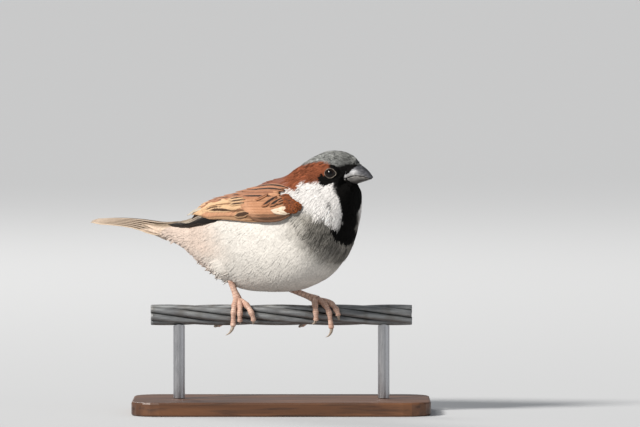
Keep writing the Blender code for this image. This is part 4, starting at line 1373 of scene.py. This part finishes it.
def toe_skin(path, hind):
    """A toe, swollen at its joints."""
    t = np.linspace(0, 1, len(path))
    joints, scutes = (HIND_JOINTS, t * HIND_SCUTES) if hind else (TOE_JOINTS, t * TOE_SCUTES)
    swell = 0.28 * np.cos(math.pi * joints * t) ** 2 + 0.14 * smooth(0.35, 0.0, t)
    radii = TOE_RADIUS - 0.22 * t + swell + 0.09 * (1 - scutes % 1) ** 2
    return leg_part(path, radii * (1 - 0.5 * smooth(0.965, 1.0, t) ** 2), 22, scutes, 1)


def make_claw(name, root, along, inward, length, bend, material):
    """A claw that curls in towards the wire."""
    turned = unit(inward + np.array((bend, 0, 0)))
    t = np.linspace(0, 1, 40)
    curve_radius = (length + 0.7) / CLAW_CURL
    a = CLAW_CURL * t[:, None]
    path = root + along * curve_radius * np.sin(a) + turned * curve_radius * (1 - np.cos(a))
    radii = CLAW_RADIUS * (1 - t) ** 0.8 * (0.7 + 0.3 * smooth(0.0, 0.2, t)) + 0.05
    nail = add_solid(f"nail_{name}", *tube(sweep(path, radii, 18)), material, "claw")
    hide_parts(f"claw_{name}")


def join_parts(parts):
    """One set of points, faces and values from several."""
    points, faces, values = zip(*parts)
    starts = np.cumsum([0, *(len(p) for p in points[:-1])])
    faces = [part + start for part, start in zip(faces, starts)]
    return np.vstack(points), np.concatenate(faces), np.concatenate(values)


def leg_material():
    """Broad scutes across, each with a dark crease, and small scales between them."""
    material, tree, shader = make_material("leg_scales", roughness=0.5, specular=0.35)
    place = object_place(tree)
    cells = node(tree, "TexVoronoi", {"Vector": place, "Scale": 1700.0}, feature="DISTANCE_TO_EDGE")
    seam = ramp(tree, cells.outputs["Distance"], 0.0, 0.1)
    scute = maths(tree, "FRACT", attribute(tree, "scute"))
    crease = ramp(tree, maths(tree, "ABSOLUTE", maths(tree, "SUBTRACT", scute, 0.5)), 0.36, 0.5)
    soft = ramp(tree, noise(tree, place, 500.0, 4.0), 0.35, 0.65)
    colour = mix(tree, soft, srgb(194, 154, 134), srgb(224, 190, 170))
    colour = mix(tree, ramp(tree, seam, 0.0, 1.0, 0.5, 0.0), colour, srgb(150, 115, 98))
    colour = mix(tree, maths(tree, "MULTIPLY", crease, 0.75), colour, srgb(128, 88, 74))
    dress(tree, shader, colour, height=maths(tree, "MULTIPLY_ADD", crease, -1.2, seam), strength=0.45)
    return material


def make_legs():
    skin = leg_material()
    horn = skin_material("claw_horn", srgb(190, 176, 160), srgb(134, 118, 104), 1800.0, 0.38, 0.15)
    for side, (heel, foot_x, toes) in LEGS.items():
        ankle = np.array((foot_x, 0.0, WIRE_HEIGHT + FOOT_HEIGHT))
        parts = [shank(to_world(heel), ankle), foot_pad(ankle)]
        for name, toe in toes.items():
            points, along, inward = toe_line(foot_x, toe, ankle)
            path = spline(points, np.linspace(0, len(points) - 1, 110))
            parts.append(toe_skin(path, name == "hind"))
            make_claw(f"{side}_{name}", path[-1] - along * CLAW_ROOT, along, inward, *toe[-2:], horn)
        points, faces, scutes = join_parts(parts)
        leg = add_solid(f"leg_skin_{side}", points, faces, skin, "leg_skin", values={"scute": scutes})
        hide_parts(f"leg_{side}")


# ------------------------------------------------------------------ perch and stand
def strand_material():
    """Dull grey metal, streaked along the wire, stained in places and black in the grooves."""
    material, tree, shader = make_material("strand", roughness=0.5, metallic=0.5)
    streaks = noise(tree, object_place(tree, 0.16, 1.0, 1.0), 900.0, 5.0)
    stains = ramp(tree, noise(tree, object_place(tree), 160.0, 4.0), 0.5, 0.7, 0.0, 0.5)
    colour = mix(tree, ramp(tree, streaks, 0.35, 0.65), srgb(112, 113, 114), srgb(140, 142, 142))
    colour = mix(tree, stains, colour, srgb(98, 92, 84))
    colour = mix(tree, attribute(tree, "groove"), colour, srgb(30, 30, 28))
    dress(tree, shader, colour, ramp(tree, streaks, 0.3, 0.7, 0.38, 0.62), streaks, 0.2, 0.0003)
    return material


def wood_material():
    material, tree, shader = make_material("dark_wood", roughness=0.42, specular=0.4)
    along = object_place(tree, 0.10, 1.0, 1.0)
    grain = noise(tree, along, 420.0, 6.0, distortion=0.6)
    rings = ramp(tree, noise(tree, along, 90.0, 3.0, distortion=1.2), 0.35, 0.65)
    colour = mix(tree, rings, srgb(70, 44, 28), srgb(112, 74, 48))
    colour = mix(tree, ramp(tree, grain, 0.52, 0.68, 0.0, 0.6), colour, srgb(42, 26, 18))
    dress(tree, shader, colour, ramp(tree, grain, 0.3, 0.7, 0.34, 0.55), grain, 0.12, 0.0003)
    return material


def steel_material():
    material, tree, shader = make_material("satin_steel", srgb(190, 190, 192), 0.32, 1.0)
    brush = noise(tree, object_place(tree, 1.0, 1.0, 0.05), 4000.0, 3.0)
    dress(tree, shader, mix(tree, brush, srgb(150, 150, 152), srgb(204, 204, 206)),
          ramp(tree, brush, 0.3, 0.7, 0.24, 0.42))
    return material


def make_perch():
    """A core and the outer wires laid round it. Groove is 1 deep between them."""
    material = strand_material()
    thick, end = WIRE_DIAMETER / 3, WIRE_LENGTH / 2
    outer_radius = (thick - WIRE_GAP) / 2
    x = np.linspace(-end, end, 150)
    for index in range(OUTER_WIRES):
        path = round_wire(x, 360 * (index / OUTER_WIRES - x / LAY_LENGTH), thick)
        points, faces = tube(sweep(path, np.full(len(x), outer_radius), 26))
        away = np.hypot(points[:, 1], points[:, 2] - WIRE_HEIGHT)
        values = {"groove": smooth(thick + 0.62, thick - 0.2, away)}
        wire = add_solid(f"strand_wire_{index + 1}", points, faces, material, "wire", values=values)
        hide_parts(f"perch_wire_{index + 1}")
    path = round_wire(np.linspace(-end, end, 3), np.zeros(3), 0.001)
    points, faces = tube(sweep(path, np.full(3, thick / 2), 24))
    values = {"groove": np.full(len(points), 0.5)}
    core = add_solid("strand_core", points, faces, material, "wire", values=values)
    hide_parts("perch_wire_core")


def make_stand():
    """Wood and steel on the CAD's own stand."""
    wood, steel = wood_material(), steel_material()
    for name, material in (("stand_base", wood), ("stand_rod_hind", steel), ("stand_rod_fore", steel)):
        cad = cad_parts[name]
        cad.data.materials.clear()
        cad.data.materials.append(material)


# ------------------------------------------------------------------ the studio
FLOOR_REACH = 300000.0  # wide enough for its far edge to lie above the picture
CAMERA_RISE, CAMERA_DISTANCE, PICTURE_WIDTH = math.radians(1.8), 3000.0, 275.2
PICTURE_CENTRE_X, PICTURE_CENTRE_HEIGHT = 16.6, 43.6  # the height is above the wire's axis
LAMP_TARGET = Vector((0, 0, 85))


def add_light(name, kind, direction, energy, colour):
    """A light that shines along a direction."""
    data = bpy.data.lights.new(name, kind)
    data.energy = energy
    data.color = colour
    light = bpy.data.objects.new(name, data)
    bpy.context.scene.collection.objects.link(light)
    light.rotation_euler = Vector(direction).to_track_quat("-Z", "Y").to_euler()
    return light


def add_lamp(name, place, size, power, colour):
    """A round lamp turned to the bird's breast."""
    place = Vector(place)
    lamp = add_light(name, "AREA", LAMP_TARGET - place, power, colour)
    lamp.location = place * MM
    lamp.data.shape = "DISK"
    lamp.data.size = size * MM


def make_studio():
    corners = np.array([(-1, -1, 0), (1, -1, 0), (1, 1, 0), (-1, 1, 0)]) * FLOOR_REACH
    material = make_material("floor", srgb(190, 191, 192), 0.9, specular=0.1)[0]
    add_mesh("floor", corners, np.array([(0, 1, 2, 3)]), material)
    world = bpy.data.worlds.new("studio")
    bpy.context.scene.world = world
    world.use_nodes = True
    background = world.node_tree.nodes["Background"]
    background.inputs["Color"].default_value = (0.80, 0.84, 0.90, 1)
    background.inputs["Strength"].default_value = 0.36
    sun = add_light("key", "SUN", (2200, 1700, -2100), 4.5, (1.0, 0.97, 0.93))
    sun.data.angle = math.radians(13)
    add_lamp("fill", (2400, -1500, 700), 1500, 6.0, (0.88, 0.94, 1.0))
    add_lamp("rim", (-900, 1800, 1700), 800, 20.0, (1.0, 0.98, 0.95))


def make_camera():
    scene = bpy.context.scene
    data = bpy.data.cameras.new("camera")
    data.sensor_width = 36.0
    data.lens = data.sensor_width * CAMERA_DISTANCE / PICTURE_WIDTH
    data.clip_start, data.clip_end = 0.1, 400.0
    camera = bpy.data.objects.new("camera", data)
    scene.collection.objects.link(camera)
    back, rise = math.cos(CAMERA_RISE), math.sin(CAMERA_RISE)
    target = Vector((PICTURE_CENTRE_X, 0, WIRE_HEIGHT + PICTURE_CENTRE_HEIGHT / back))
    camera.location = (target + Vector((0, -back, rise)) * CAMERA_DISTANCE) * MM
    camera.rotation_euler = (math.pi / 2 - CAMERA_RISE, 0, 0)
    scene.camera = camera
    scene.view_settings.view_transform = "Standard"
    scene.view_settings.look = "None"


make_skin()
make_coat()
barbs = vane_material("vane")
for wing in SIDES:
    make_wing(wing, barbs)
make_back(barbs)
make_tail(barbs)
for eye_name in SIDES:
    make_eye(eye_name)
make_bill()
make_legs()
make_perch()
make_stand()
make_studio()
make_camera()
